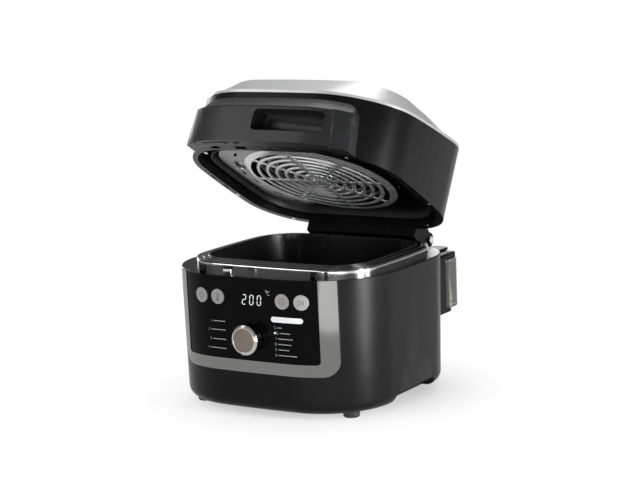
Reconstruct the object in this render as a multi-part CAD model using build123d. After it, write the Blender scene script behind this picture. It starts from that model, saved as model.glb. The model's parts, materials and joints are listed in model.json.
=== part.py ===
from build123d import *
from math import atan2, cos, degrees, radians, sin, sqrt
import os

# Countertop steam air fryer with a hinged lid, a lift-out cooking pot, a crisping plate and a
# control panel on the front. Millimetres, +Z up, the front faces -Y, +X is the right-hand side
# seen from the front. The pieces are drawn about the middle of the body, and set_back then moves
# them all, so that the origin lies on the table under the middle of the whole machine, with its
# rear housing and knob. The lid is modelled shut and then swung to the angle at which it rests.
set_back = 17.0
beyond = 400.0                # past every outer face, for cuts that go right through

# Body outline, seen from above. Every side is a slightly bowed arc.
body_half_width = 163.0
body_front = 158.0
body_rear = 149.0
body_corner_front = 107.0
body_corner_rear = 85.0
bow_side = 1135.0
bow_front = 1457.0
bow_rear = 6000.0
body_draft = 3.7              # how far the wall leans in from deck to bottom edge

# Heights above the table
foot_height = 8.0
deck_height = 192.0
deck_skirt = 7.0              # depth of the deck ring's visible band
wall = 2.6
bottom_round = 15.0

# Well and pot outline, squarer than the body's
deck_side = 20.0              # deck between the body's edge and the well
deck_front = 39.0
deck_rear = 16.0
well_half_width = body_half_width - deck_side
well_front = body_front - deck_front
well_rear = body_rear - deck_rear
well_corner = 62.0
rim_height = 7.5              # polished rim above the deck
rim_width = 9.0
well_floor = 50.0
well_inset = 7.0
well_wall = 1.0

pot_mouth_inset = 16.0
pot_floor_inset = 25.0
pot_floor_clear = 16.0        # pot's floor above the well's, over the lower element
pot_floor = well_floor + pot_floor_clear
pot_wall = 1.8
pot_floor_round = 18.0
pot_flange = 2.0
pot_lip = 2.4                 # rise from the flange's step to the mouth

plate_gap = 3.0               # crisping plate to pot wall
plate_foot = 9.0
plate_thick = 1.6
plate_rim = 6.0
plate_slot = 34.0
plate_slot_width = 5.0
plate_slot_step = 44.2        # between slots in one row; every other row is shifted by half
plate_slot_shift = 22.1
plate_row_step = 13.5
plate_margin = 55.0
plate_foot_radius = 6.0
plate_foot_inset = 65.0
plate_foot_end = 67.0

# Control panel
panel_side = 40.0             # from the panel's edge to the body's side
panel_half_width = body_half_width - panel_side
panel_bottom = 62.0
panel_corner = 20.0
frame_proud = 3.0
frame_strip = 22.0            # right-hand strip; the left one turns round the corner
frame_left = 11.0
frame_bottom = 16.5
glass_proud = 2.2
glass_corner = 5.0
glass_left = frame_left - panel_half_width
glass_right = panel_half_width - frame_strip
panel_gap = 0.3
panel_seat = 0.1              # adhesive behind the frame and the glass

knob_height = panel_bottom + 48.0
knob_radius = 20.5
knob_skirt_radius = 18.6
knob_proud = 20.0
knob_face_radius = 16.0
knob_face_step = 1.0
knob_cone = 5.0               # depth of the front part in which the knob is widest
knob_edge = 2.4
knob_bevel = 2.6
knob_face_thick = 0.8
knob_face_edge = 0.5
knob_face_gap = 0.1
shaft_clear = 2.0             # hole in the glass round the knob's shaft
knob_gap = 0.8
shaft_radius = 3.0
shaft_play = 0.05

button_outer = glass_right - 22.0
button_inner = button_outer - 28.0
button_x = (-button_outer, -button_inner, button_inner, button_outer)
button_height = deck_height - 29.0
button_radius = 10.3
button_gap = 0.5
button_proud = 1.0
button_travel = 0.8
button_deep = 5.0
stem_radius = 2.5
stem_root = 1.5               # where the stem starts inside the cap, behind the panel's middle

# Hinge and rear housing
hinge_y = body_rear + 38.0
hinge_z = deck_height
rest_angle = 29.4             # the lid's opening in the rest pose
housing_side = 46.0           # from the housing's left end to the body's side
housing_half_width = body_half_width - housing_side
housing_rear = hinge_y + 13.0
housing_top = deck_height - 10.0
housing_floor = deck_height - 28.0
housing_corner = 10.0
behind_corner = 40.0          # how far forward of the body's rear its corner round starts
housing_bevel_rise = 9.0
housing_bevel_run = 16.0
housing_edge = 2.0
tray_floor = deck_height - 21.0
tail_gap = 2.0
knuckle_radius = 11.0
knuckle_step = 6.0            # from the axis forward to the knuckle's upper shoulder
shoulder_drop = 1.5
pin_radius = 4.0
pin_play = 0.05
pin_head = 5.5
pin_head_thick = 3.2
pin_head_round = 1.2
ear_thick = 4.0
ear_radius = 8.5
ear_gap = 1.2
bracket_thick = 2.0
bracket_side = 8.0
bracket_front = 22.0
bracket_end = 2.0
spring_wire = 1.6
spring_room = 2.3             # from the pin to the middle of the spring's wire
spring_end_gap = 1.5
spring_turns = 5

# Lid, heights above its own underside
lid_gap = 2.0                 # underside of the shut lid to the deck
lid_front_height = 78.3
lid_slope = 0.11              # rise of the shell's upper edge per mm towards the rear
lid_wall = 2.6
rim_thick = 3.0
channel_half_width = body_half_width - 10.0
channel_front = body_front - 18.0
channel_rear = body_rear - 12.0
channel_corner = 76.0
channel_wall = 2.0
channel_height = 26.0
pan_half_width = channel_half_width - 22.0
pan_front = channel_front - 27.5
pan_rear = channel_rear - 13.0
pan_corner = 60.0
pan_height = 15.0
pan_wall = 0.8
guard_y = 3.0
guard_radius = 104.0
guard_rim_radius = 111.0
guard_height = 12.0
guard_thick = 1.6
guard_seat_gap = 0.1
guard_lip = 1.0
guard_turn = 1.4
guard_bevel = 0.27            # share of a bar's width that each bevelled edge takes
hub_drop = 1.2
hub_bevel = 3.0
spoke_lap = 2.0
slot_count = 7
slot_pitch = 13.5
slot_first = 15.5
slot_width = 8.0
spoke_count = 8
spoke_width = 5.0
dome_radius = 107.0
dome_flange = 3.0
dome_height = 58.0
dome_wall = 0.8
dome_round = 12.0
shaft_room = 1.5              # hole round the motor's shaft in the dome and the bracket
coil_wire = 6.6
coil_radii = (88.0, 76.0, 64.0, 52.0)
coil_height = 24.0
fan_radius = 78.0
fan_hub_radius = 14.0
fan_height = 31.0
fan_blade_height = 17.0
fan_blades = 18
fan_blade_thick = 1.2
fan_blade_start = 0.52        # where the blades begin, as a share of the fan's radius
fan_blade_lean = 24.0
fan_disc = 1.0
fan_disc_inset = 2.0
fan_hub_rise = 3.0
cooler_hub = 9.0
cooler_deep = 9.0
cooler_radius = 40.0
cooler_start = 7.0
cooler_blades = 7
cooler_blade_thick = 1.6
cooler_blade_tilt = 35.0
cooler_blade_gap = 0.5
motor_radius = 32.0
motor_height = 30.0
motor_round = 4.0
motor_boss = 10.0
motor_boss_rise = 3.0
mount_plate = 2.0
mount_lap = 8.0
mount_arm = 14.0
mount_arm_end = 18.0
shaft_top = 108.0

cover_band = 4.6
cover_step = 6.0
cover_side_inset = 24.0
cover_front_inset = 54.0
cover_rear_inset = 30.0
cover_top = 122.0
cover_wall = 2.4

# Handle block across the lid's front
block_half_low = body_half_width - 35.0
block_half_top = block_half_low - 6.0
block_height = 70.0
block_reach = 17.0            # how far it stands out from the shell
block_corner = 16.0
block_ledge = 2.0             # straight part above the face plate
block_slope_rise = 7.0
block_slope_share = 0.45
block_top_proud = 0.6
face_half_low = block_half_low - 22.0
face_half_top = face_half_low - 7.0
face_height = 50.0
face_corner = 9.0
face_thick = 4.0
grip_x = face_half_top - 60.0
grip_width = 108.0
grip_low = 16.0
grip_high = 47.0
grip_corner = 7.0
grip_depth = 29.0
grip_wall = 1.6

# Condensation cup on the rear right
cup_side = 33.0               # from the cup to the body's side
cup_wide = 33.0
cup_deep = 34.7
cup_tall = 71.0
cup_right = body_half_width - cup_side
cup_left = cup_right - cup_wide
cup_front = body_rear + 14.3
cup_rear = cup_front + cup_deep
hood_top = deck_height - 14.0
cup_high = hood_top - 10.0
cup_low = cup_high - cup_tall
cup_wall = 1.6
cup_corner = 6.0
cup_chamfer = 8.0
cup_gap = 0.4
cup_lip_high = 3.0
cup_lip_thick = 1.2
cup_side_gap = 1.5
shelf_low = cup_low - 6.0
shelf_rear = cup_front + 13.7
hood_rear = cup_front + 26.7
hood_round = 4.0
bracket_left_step = 0.5
bracket_right_step = 2.0
bracket_plate = 4.0
bracket_rib = 5.0
chute_radius = 4.0
chute_roof = 3.0
chute_low = cup_high - 18.0
hollow_low = shelf_low + 8.0
hollow_high = cup_high - 8.0

# Lid's tail, which stands beside the cup, and the hinge ears inside it
tail_half_width = cup_left - 6.5
tail_front = channel_rear + channel_wall + 0.6
tail_low = deck_height - 12.0
tail_nose = 16.0
tail_nose_drop = 3.5
tail_rise = 20.0
tail_back_gap = 5.0
tail_lap = 4.0
tray_front = tail_front - 3.0
ear_x = tail_half_width - 24.5
tail_pockets = ((ear_x - 24.0, ear_x - 10.0), (ear_x + 8.0, ear_x + 20.0))
tail_pocket_front = 9.0
tail_pocket_rear = 25.0
tail_pocket_deep = 30.0

foot_x = body_half_width - 45.2
foot_front = body_front - 57.5
foot_rear = body_rear - 32.5
foot_radius = 11.0
foot_taper = 6.0
foot_lap = 4.0
foot_edge = 1.2

# Small fits and inner parts
fit_gap = 0.2
floor_lap = 4.0               # housing's bottom lip under the floor plate
floor_thick = 2.5
floor_vent_x = (-48.0, -24.0, 0.0, 24.0, 48.0)
floor_vent_long = 70.0
floor_vent_wide = 4.0
floor_screw_x = body_half_width - 67.0
floor_screw_front = body_front - 74.0
floor_screw_rear = body_rear - 53.0
screw_head = 3.6
screw_head_high = 1.4
screw_shank = 1.5
post_radius = 3.5
scoop_y = 8.0                 # finger scoop in each side's lower edge
scoop_long = 118.0
scoop_high = 15.0
scoop_corner = 13.0
scoop_inner = body_half_width - 27.0
vent_count = 11
vent_pitch = 9.0
vent_width = 3.2
vent_low = 60.0
vent_high = 92.0
gland_x = -62.0
gland_z = 36.0
gland_radius = 7.0
gland_bore = 4.2
gland_lip = 3.0
gland_out = 5.0
gland_in = 8.0
deck_seat = 4.0               # deck under the polished rim
deck_edge = 1.6
rim_edge = 2.2
well_round = 8.0
flange_edge = 0.9
terminal_rise = 6.0
shield_inset = 1.6
shield_low = well_floor - 20.0
heater_radius = 74.0
heater_wire = 3.5
heater_height = well_floor + 9.0
heater_ends = (12.0, -12.0)
heater_drop = 12.0            # how far its ends stand below the well's floor
heater_posts = (30.0, 150.0, 270.0)
heater_post_radius = 2.2
thermostat_radius = 9.0
thermostat_high = 7.0
thermostat_plate = (14.0, 3.0, 1.5)
board_half = button_outer + 13.0
board_low = panel_bottom + frame_bottom + 9.5
board_thick = 1.6
carrier_wall = 2.0
carrier_side = 6.0
carrier_top = deck_height - 8.0
carrier_deep = 8.0
board_y = 18.0 - body_front
chip_x = (-40.0, -8.0, 30.0, 60.0)
chip_wide = 12.0
chip_high = 2.4
board_height = 22.0
power_board = ((-45.0, 45.0), (-30.0, 40.0))
transformer_x = (-38.0, -12.0)
transformer_y = (-22.0, 6.0)
transformer_high = 17.0
capacitor_x = (8.0, 28.0)
capacitor_y = -12.0
capacitor_radius = 8.0
capacitor_high = 18.0
relay_x = (2.0, 36.0)
relay_y = (12.0, 30.0)
relay_high = 12.0
board_posts = ((-40.0, -26.0), (40.0, -26.0), (-40.0, 36.0), (40.0, 36.0))
display_x = (29.0 - button_inner, button_inner - 15.0)
display_z = (button_height - 17.0, button_height + 15.0)
display_gap = 4.0
switch_high = 5.0
switch_half = 3.0
switch_body = 3.0
plunger_radius = 1.7
stem_gap = 0.1
encoder_half = 7.0
encoder_deep = 8.0
encoder_nose = 13.0
encoder_nose_wall = 1.5
encoder_floor = 1.5
shaft_end = 2.0
lug_places = ((81.0 - body_half_width, 11.4 - body_front), (body_half_width - 71.0, 15.4 - body_front))
lug_width = 9.0
lug_depth = 5.0
lug_high = 11.0
lug_edge = 1.1
lug_play = 2.0
catch_x = -40.0
catch_y = 10.0 - body_front
catch_width = 13.0
catch_cap = 3.0
cap_side = 0.6
cap_depth = 0.4
cap_edge = 1.2
interlock_half = 10.0
interlock_deep = 3.5
pot_step_inset = 8.0
pot_step = 1.2
tail_wall = 3.0
seal_gap = 1.9
seal_outer = 0.8
seal_inner = 5.0
seal_base = 5.0
lip_outer = 2.2
lip_inner = 3.8
cover_side_gap = 0.4          # cover's band inside the shell's face
cover_seat = 0.3
cover_round = 12.0
exhaust_count = 13
exhaust_pitch = 9.0
exhaust_width = 4.0
exhaust_low = 62.0
exhaust_high = 92.0
coil_open = 13.0              # half angle of the gap where the element steps between rings
sensor_x = -guard_rim_radius - 1.0
sensor_y = -34.0
sensor_clip = (6.0, 3.0, 2.5)
probe_radius = 1.6
probe_long = 18.0
probe_drop = 2.0
motor_shaft_radius = 4.0
rim_screw_corner = body_half_width - 51.0
rim_screw_side = body_half_width - 5.6
rim_screw_places = ((rim_screw_corner, 34.0 - body_front), (rim_screw_side, 40.0),
                    (rim_screw_corner, body_rear - 18.0))
rim_head = 3.0
rim_head_high = 0.5
rim_shank = 1.5
rim_slot_side = body_half_width - 5.4
rim_slot_front = 9.0 - body_front
rim_slots = ((5.0, rim_slot_front, 0.0), (52.0, rim_slot_front, 0.0),
             (-rim_slot_side, -30.0, 90.0), (-rim_slot_side, 5.0, 90.0),
             (rim_slot_side, -30.0, 90.0), (rim_slot_side, 5.0, 90.0))
rim_slot_long = 13.0
rim_slot_wide = 3.0

# Slots in the pan round the guard: inset from its side, y, length and turn
pan_slots = ((38.0, -82.0, 16.0, 50.0), (12.0, -12.0, 12.0, 80.0), (14.0, 20.0, 14.0, 100.0),
             (25.0, 66.0, 16.0, 130.0), (43.0, 96.0, 14.0, 140.0))
pan_slot_wide = 3.6

lid_z = deck_height + lid_gap
rim_top = deck_height + rim_height
hinge_axis = Axis((0, hinge_y, hinge_z), (1, 0, 0))


class Outline:
    """A bowed rectangle with round corners, as eight tangent arcs."""

    def __init__(self, half, front, rear, corner_front, corner_rear, grow=0.0):
        self.half = half
        self.front = front
        self.rear = rear
        self.corner_front = corner_front
        self.corner_rear = corner_rear
        self.side_arc = bow_side + grow
        self.front_arc = bow_front + grow
        self.rear_arc = bow_rear + grow

    def inset(self, by, front=None, rear=None):
        front = by if front is None else front
        rear = by if rear is None else rear
        return Outline(self.half - by, self.front - front, self.rear - rear,
                       max(self.corner_front - (by + front) / 2, 2.0),
                       max(self.corner_rear - (by + rear) / 2, 2.0), -by)

    def corner_centre(self, end, end_arc, radius, towards):
        """The centre of the circle that touches the side arc and the end arc from inside."""
        side = Vector(self.half - self.side_arc, 0)
        middle = Vector(0, towards * (end - end_arc))
        reach_side = self.side_arc - radius
        reach_end = end_arc - radius
        apart = middle - side
        along = (reach_side ** 2 - reach_end ** 2 + apart.length ** 2) / (2 * apart.length)
        across = sqrt(max(reach_side ** 2 - along ** 2, 0))
        unit = apart.normalized()
        base = side + unit * along
        choices = [base + Vector(-unit.Y, unit.X) * across, base - Vector(-unit.Y, unit.X) * across]
        return max(choices, key=lambda point: point.Y * towards)

    def face(self, z=0.0):
        """The outline as a flat face at height z."""
        side = Vector(self.half - self.side_arc, 0)
        start = Vector(self.half, 0)
        arcs = []
        for towards, end, end_arc, corner in ((-1, self.front, self.front_arc, self.corner_front),
                                              (1, self.rear, self.rear_arc, self.corner_rear)):
            middle = Vector(0, towards * (end - end_arc))
            crown = Vector(0, towards * end)
            centre = self.corner_centre(end, end_arc, corner, towards)
            on_side = centre + (centre - side).normalized() * corner
            on_end = centre + (centre - middle).normalized() * corner
            arcs += [round_arc(side, start, on_side),
                     round_arc(centre, on_side, on_end),
                     round_arc(middle, on_end, crown)]
        mirrored = [mirror(arc, about=Plane.YZ) for arc in arcs]
        return Pos(0, 0, z) * make_face(arcs + mirrored)


def round_arc(centre, start, end):
    """The shorter arc about a centre between two points at the same distance from it."""
    half_way = ((start - centre).normalized() + (end - centre).normalized()).normalized()
    return ThreePointArc(start, centre + half_way * (start - centre).length, end)


body = Outline(body_half_width, body_front, body_rear, body_corner_front, body_corner_rear)
well = Outline(well_half_width, well_front, well_rear, well_corner, well_corner)
channel = Outline(channel_half_width, channel_front, channel_rear, channel_corner, channel_corner)
pan = Outline(pan_half_width, pan_front, pan_rear, pan_corner, pan_corner)


def lean(z):
    """How far the body's wall has leaned in at height z."""
    return body_draft * (deck_height - z) / (deck_height - foot_height)


def body_block(low, high, inset=0.0):
    """The body's leaning outline as a solid between two heights, drawn in by inset."""
    bottom = body.inset(lean(low) + inset).face(low)
    top = body.inset(lean(high) + inset).face(high)
    return loft([bottom, top], ruled=True)


def upright(outline, low, high):
    return extrude(outline.face(low), amount=high - low)


def ring_of(outer, inner, low, high):
    return upright(outer, low, high) - upright(inner, low - 1, high + 1)


def box(x, y, z):
    """A box from its lowest and highest x, y and z."""
    size = [b - a for a, b in (x, y, z)]
    return Pos((x[0] + x[1]) / 2, (y[0] + y[1]) / 2, (z[0] + z[1]) / 2) * Box(*size)


def along_y(sketch, near, far):
    """A sketch drawn in X and Z, extruded from y = near to y = far."""
    return extrude(Plane.XZ.offset(-far) * sketch, amount=far - near, dir=(0, -1, 0))


def along_x(sketch, near, far):
    """A sketch drawn in Y and Z, extruded from x = near to x = far."""
    return extrude(Plane.YZ.offset(near) * sketch, amount=far - near, dir=(1, 0, 0))


def rod_y(x, z, radius, near, far):
    return along_y(Pos(x, z) * Circle(radius), near, far)


def rod_x(y, z, radius, near, far):
    return along_x(Pos(y, z) * Circle(radius), near, far)


def rod_z(x, y, radius, low, high):
    return Pos(x, y, low) * extrude(Circle(radius), amount=high - low)


def group(shapes):
    return Compound(children=list(shapes))


def both_sides(shape):
    return [shape, mirror(shape, about=Plane.YZ)]


# Base: casing, deck, well and feet

def front_window(left, right, low, corner, far=-body_front / 3):
    """A block across the front with two round lower corners, for cutting out the panel's pieces."""
    tall = 2 * (deck_height - low)
    outline = Pos((left + right) / 2, deck_height) * RectangleRounded(right - left, tall, corner)
    return along_y(outline, -beyond, far)


def tail_notch(grow=0.0):
    """The space at the rear of the deck in which the lid's tail swings."""
    half = tail_half_width + tail_gap + grow
    return box((-half, half), (tray_front - grow, beyond), (tray_floor - grow, beyond))


def make_base_housing():
    outer = body_block(foot_height, deck_height - deck_skirt)
    outer = fillet(outer.faces().sort_by(Axis.Z)[0].edges(), bottom_round)
    inner = body_block(foot_height + wall, deck_height, wall)
    inner = fillet(inner.faces().sort_by(Axis.Z)[0].edges(), bottom_round - wall)
    shell = outer - inner
    mouth = body.inset(body_draft + bottom_round + floor_lap)
    shell -= upright(mouth, foot_height - 1, foot_height + wall + 1)
    shell -= tail_notch(wall + fit_gap)
    shell -= box((-board_half, board_half), (-beyond, -body_front / 2), (board_low, deck_height))
    for cutter, liner in zip(both_sides(scoop()), both_sides(scoop(wall))):
        shell += liner & outer
        shell -= cutter
    for step in range(vent_count):
        x = (step - (vent_count - 1) / 2) * vent_pitch
        shell -= box((x - vent_width / 2, x + vent_width / 2), (body_rear / 2, beyond),
                     (vent_low, vent_high))
    return shell - rod_y(gland_x, gland_z, gland_radius, body_rear / 2, beyond)


def scoop(grow=0.0):
    """The finger recess in the right-hand lower edge, grown outwards for its liner."""
    outline = RectangleRounded(scoop_long + 2 * grow, 2 * (scoop_high + grow), scoop_corner + grow)
    return along_x(Pos(scoop_y, foot_height) * outline, scoop_inner - grow, beyond)


def make_base_floor():
    low = foot_height + wall
    edge = body.inset(body_draft + bottom_round + fit_gap)
    floor = upright(edge, low, low + floor_thick)
    slot = extrude(SlotOverall(floor_vent_long, floor_vent_wide, rotation=90), amount=2 * floor_thick)
    for x in floor_vent_x:
        floor -= Pos(x, 0, low - 1) * slot
    for x, y in board_posts:
        floor += rod_z(x, y, post_radius, low + floor_thick, board_height)
    for liner in both_sides(scoop(wall + fit_gap)):
        floor -= liner
    return floor - make_floor_screws()


def floor_screw_places():
    return [(x, y) for x in (-floor_screw_x, floor_screw_x) for y in (-floor_screw_front,
                                                                     floor_screw_rear)]


def make_floor_screws():
    low = foot_height + wall
    return group([rod_z(x, y, screw_head, low - screw_head_high, low)
                  + rod_z(x, y, screw_shank, low, low + floor_thick)
                  for x, y in floor_screw_places()])


def make_foot_pads():
    block = body_block(foot_height, deck_height)
    block = fillet(block.faces().sort_by(Axis.Z)[0].edges(), bottom_round)
    pads = []
    for x in (-foot_x, foot_x):
        for y in (-foot_front, foot_rear):
            pad = extrude(Circle(foot_radius), amount=foot_height + foot_lap, taper=-foot_taper)
            pad = chamfer(pad.faces().sort_by(Axis.Z)[0].edges(), foot_edge)
            pads.append(Pos(x, y, 0) * pad - block)
    return group(pads)


def make_deck_ring():
    band = body_block(deck_height - deck_skirt, deck_height)
    band = fillet(band.faces().sort_by(Axis.Z)[-1].edges(), deck_edge)
    inside = body_block(deck_height - deck_skirt - 1, deck_height - wall, wall)
    deck = band - inside - upright(well.inset(deck_seat), 0, beyond)
    return deck - tail_notch(wall + fit_gap)


def make_steel_rim():
    rim = ring_of(well, well.inset(rim_width), deck_height, rim_top)
    top = rim.faces().sort_by(Axis.Z)[-1]
    return fillet(top.edges(), rim_edge)


def make_heating_well():
    tub = upright(well.inset(well_inset), well_floor, deck_height)
    tub = fillet(tub.faces().sort_by(Axis.Z)[0].edges(), well_round)
    hollow = upright(well.inset(well_inset + well_wall), well_floor + well_wall, deck_height + 1)
    hollow = fillet(hollow.faces().sort_by(Axis.Z)[0].edges(), well_round - well_wall)
    tub -= hollow
    tub += ring_of(well.inset(deck_seat + fit_gap), well.inset(well_inset + well_wall / 2),
                   deck_height - well_wall, deck_height)
    for angle in heater_ends:
        tub -= rod_z(*polar(heater_radius, angle), heater_wire + fit_gap, 0, heater_height)
    return tub


def polar(radius, angle, about=(0.0, 0.0)):
    """The X and Y of a point at a radius and an angle in degrees."""
    turn = radians(angle)
    return about[0] + radius * cos(turn), about[1] + radius * sin(turn)


def make_heat_shield():
    return ring_of(well.inset(shield_inset), well.inset(shield_inset + well_wall),
                   shield_low, deck_height - wall - fit_gap)


def make_base_heater():
    section = Plane.XZ * (Pos(heater_radius, heater_height) * Circle(heater_wire))
    first, last = heater_ends
    element = Rot(0, 0, first) * revolve(section, Axis.Z, 360 + last - first)
    for angle in heater_ends:
        x, y = polar(heater_radius, angle)
        element += rod_z(x, y, heater_wire, well_floor - heater_drop, heater_height)
    for angle in heater_posts:
        x, y = polar(heater_radius, angle)
        element += rod_z(x, y, heater_post_radius, well_floor + well_wall, heater_height)
    return element


def make_well_thermostat():
    half, deep, thick = thermostat_plate
    plate = box((-half, half), (-deep, deep), (well_floor - thick, well_floor))
    return rod_z(0, 0, thermostat_radius, well_floor - thermostat_high, well_floor) + plate


def make_chrome_frame():
    band = body_block(panel_bottom, deck_height, -frame_proud)
    band -= body_block(0, beyond, -panel_seat)
    frame = band & front_window(-panel_half_width, panel_half_width, panel_bottom, panel_corner)
    return frame - front_window(glass_left, glass_right, panel_bottom + frame_bottom, glass_corner)


def make_glass_panel():
    band = body_block(panel_bottom, deck_height, -glass_proud)
    band -= body_block(0, beyond, -panel_seat)
    glass = band & front_window(glass_left + panel_gap, glass_right - panel_gap,
                                panel_bottom + frame_bottom + panel_gap, glass_corner)
    for x in button_x:
        glass -= rod_y(x, button_height, button_radius + button_gap, -beyond, 0)
    return glass - rod_y(0, knob_height, shaft_radius + shaft_clear, -beyond, 0)


def button(x):
    cap = rod_y(x, button_height, button_radius, -beyond, -body_front / 2)
    proud = glass_proud + button_proud
    cap &= body_block(panel_bottom, deck_height, -proud)
    cap -= body_block(0, beyond, button_deep - proud)
    stem_end = board_y - switch_high - button_travel - stem_gap
    return cap + rod_y(x, button_height, stem_radius, -body_front + stem_root, stem_end)


def make_board_carrier():
    """A tray behind the panel's window, seated on the inside of the front wall."""
    half = board_half + carrier_side
    low = board_low - carrier_side
    rear = board_y + carrier_deep
    tray = box((-half, half), (-body_front, rear), (low, carrier_top))
    tray &= body_block(foot_height, deck_height, wall + fit_gap)
    half -= carrier_wall
    return tray - box((-half, half), (-body_front, rear - carrier_wall),
                      (low + carrier_wall, carrier_top - carrier_wall))


def make_control_board():
    half = board_half + carrier_side - carrier_wall - panel_gap
    back = board_y + board_thick
    edge = carrier_wall + 1
    board = box((-half, half), (board_y, back), (board_low - carrier_side + edge, carrier_top - edge))
    for x in chip_x:
        board += box((x, x + chip_wide), (back, back + chip_high),
                     (board_low + chip_wide, board_low + 2 * chip_wide))
    return board


def make_display_module():
    return box(display_x, (-body_front + display_gap, board_y), display_z)


def make_tact_switches():
    switches = []
    for x in button_x:
        case = box((x - switch_half, x + switch_half), (board_y - switch_body, board_y),
                   (button_height - switch_half, button_height + switch_half))
        plunger = rod_y(x, button_height, plunger_radius, board_y - switch_high, board_y)
        switches.append(case + plunger)
    return group(switches)


def make_knob_encoder():
    case = box((-encoder_half, encoder_half), (board_y - encoder_deep, board_y),
               (knob_height - encoder_half, knob_height + encoder_half))
    case += rod_y(0, knob_height, shaft_radius + encoder_nose_wall, board_y - encoder_nose, board_y - 1)
    return case - rod_y(0, knob_height, shaft_radius + shaft_play, -beyond, board_y - encoder_floor)


def knob_turned(profile):
    """A ring or disc about the knob's axis, from (radius, y) points."""
    section = Plane.XY * Polygon(*profile, align=None)
    return Pos(0, 0, knob_height) * revolve(section, Axis.Y, 360)


def make_knob_body():
    back = -body_front - glass_proud - knob_gap
    front = -body_front - knob_proud
    return knob_turned([(0, back), (knob_skirt_radius, back), (knob_radius, front + knob_cone),
                        (knob_radius, front + knob_edge), (knob_radius - knob_bevel, front),
                        (knob_face_radius, front), (knob_face_radius, front + knob_face_step),
                        (0, front + knob_face_step)])


def make_knob_face():
    back = -body_front - knob_proud + knob_face_step
    radius = knob_face_radius - knob_face_gap
    front = back - knob_face_thick
    return knob_turned([(0, back), (radius, back), (radius, back - knob_face_edge),
                        (radius - knob_face_edge, front), (0, front)])


def make_knob_shaft():
    back = -body_front - glass_proud - knob_gap
    return rod_y(0, knob_height, shaft_radius, back, board_y - shaft_end)


def make_power_board():
    top = board_height + board_thick
    board = box(*power_board, (board_height, top))
    board += box(transformer_x, transformer_y, (top, top + transformer_high))
    for x in capacitor_x:
        board += rod_z(x, capacitor_y, capacitor_radius, top, top + capacitor_high)
    return board + box(relay_x, relay_y, (top, top + relay_high))


def lug(x, y, width, depth, high):
    block = box((x - width / 2, x + width / 2), (y - depth / 2, y + depth / 2),
                (deck_height, deck_height + high))
    edges = block.edges().filter_by(Axis.Z) + block.faces().sort_by(Axis.Z)[-1].edges()
    return fillet(edges, lug_edge)


def make_guide_lugs():
    return group([lug(x, y, lug_width, lug_depth, lug_high) for x, y in lug_places])


def make_catch_post():
    return lug(catch_x, catch_y, catch_width, lug_depth, lug_high - catch_cap)


def make_catch_cap():
    half = catch_width / 2 + cap_side
    deep = lug_depth / 2 + cap_depth
    cap = box((catch_x - half, catch_x + half), (catch_y - deep, catch_y + deep),
              (deck_height + lug_high - catch_cap, deck_height + lug_high))
    return fillet(cap.faces().sort_by(Axis.Z)[-1].edges(), cap_edge)


def make_interlock_switch():
    top = deck_height - wall
    return box((catch_x - interlock_half, catch_x + interlock_half),
               (catch_y - interlock_deep, catch_y + interlock_deep), (carrier_top + fit_gap, top))


# Hinge, rear housing and condensation cup

def make_rear_housing():
    front = body_rear - behind_corner
    profile = Polygon((front, housing_floor), (housing_rear - housing_bevel_run, housing_floor),
                      (housing_rear, housing_floor + housing_bevel_rise),
                      (housing_rear, housing_top), (front, housing_top), align=None)
    block = along_x(profile, -housing_half_width, housing_half_width)
    corners = block.edges().filter_by(Axis.Z).sort_by(Axis.Y)[-2:]
    block = fillet(corners, housing_corner)
    top_edges = block.faces().sort_by(Axis.Z)[-1].edges().filter_by(
        lambda edge: edge.center().Y > body_rear)
    block = fillet(top_edges, housing_edge)
    block -= body_block(0, deck_height)
    half = tail_half_width + tail_gap + wall
    tray = box((-half, half), (tray_front - wall, body_rear + 1), (tray_floor - wall, deck_height))
    tray &= body_block(0, deck_height)
    block += tray
    block -= tail_notch()
    return block - box((cup_left - cup_side_gap, beyond), (0, beyond), (0, hood_top + fit_gap))


def ear_profile():
    ear = Pos(hinge_y, hinge_z) * Circle(ear_radius)
    return ear + Polygon((hinge_y - ear_radius, tray_floor), (hinge_y + ear_radius, tray_floor),
                         (hinge_y + ear_radius, hinge_z), (hinge_y - ear_radius, hinge_z),
                         align=None)


def make_hinge_bracket():
    half = ear_x + bracket_side
    plate = box((-half, half), (hinge_y - bracket_front, housing_rear - bracket_end),
                (tray_floor, tray_floor + bracket_thick))
    for side in (-1, 1):
        middle = side * ear_x
        plate += along_x(ear_profile(), middle - ear_thick / 2, middle + ear_thick / 2)
    bore = rod_x(hinge_y, hinge_z, pin_radius + pin_play, -beyond, beyond)
    return plate - bore


def make_hinge_springs():
    near = ear_x + ear_thick / 2
    far = tail_half_width - tail_wall - spring_end_gap
    start = near + spring_wire
    pitch = (far - start - spring_wire) / spring_turns
    mean = pin_radius + spring_room
    path = Helix(pitch, pitch * spring_turns, mean)
    wire = Plane(origin=path @ 0, z_dir=path % 0) * Circle(spring_wire / 2)
    coil = sweep(wire, path)
    coil += Pos(mean, 0, 0) * extrude(Circle(spring_wire / 2), amount=near - start)
    coil = Pos(start, hinge_y, hinge_z) * (Rot(0, 90, 0) * coil)
    return group(both_sides(coil))


def make_cord_gland():
    outer = rod_y(gland_x, gland_z, gland_radius + gland_lip, body_rear - 1, body_rear + gland_out)
    outer -= upright(body, 0, beyond)
    outer += rod_y(gland_x, gland_z, gland_radius, body_rear - gland_in, body_rear + 1)
    return outer - rod_y(gland_x, gland_z, gland_bore, 0, beyond)


def cup_block(grow, low, high):
    """The cup's outline with round corners, drawn in or out by grow."""
    wide = cup_right - cup_left + 2 * grow
    deep = cup_rear - cup_front + 2 * grow
    outline = RectangleRounded(wide, deep, cup_corner + grow)
    middle = ((cup_left + cup_right) / 2, (cup_front + cup_rear) / 2)
    return Pos(*middle, low) * extrude(outline, amount=high - low)


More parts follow.
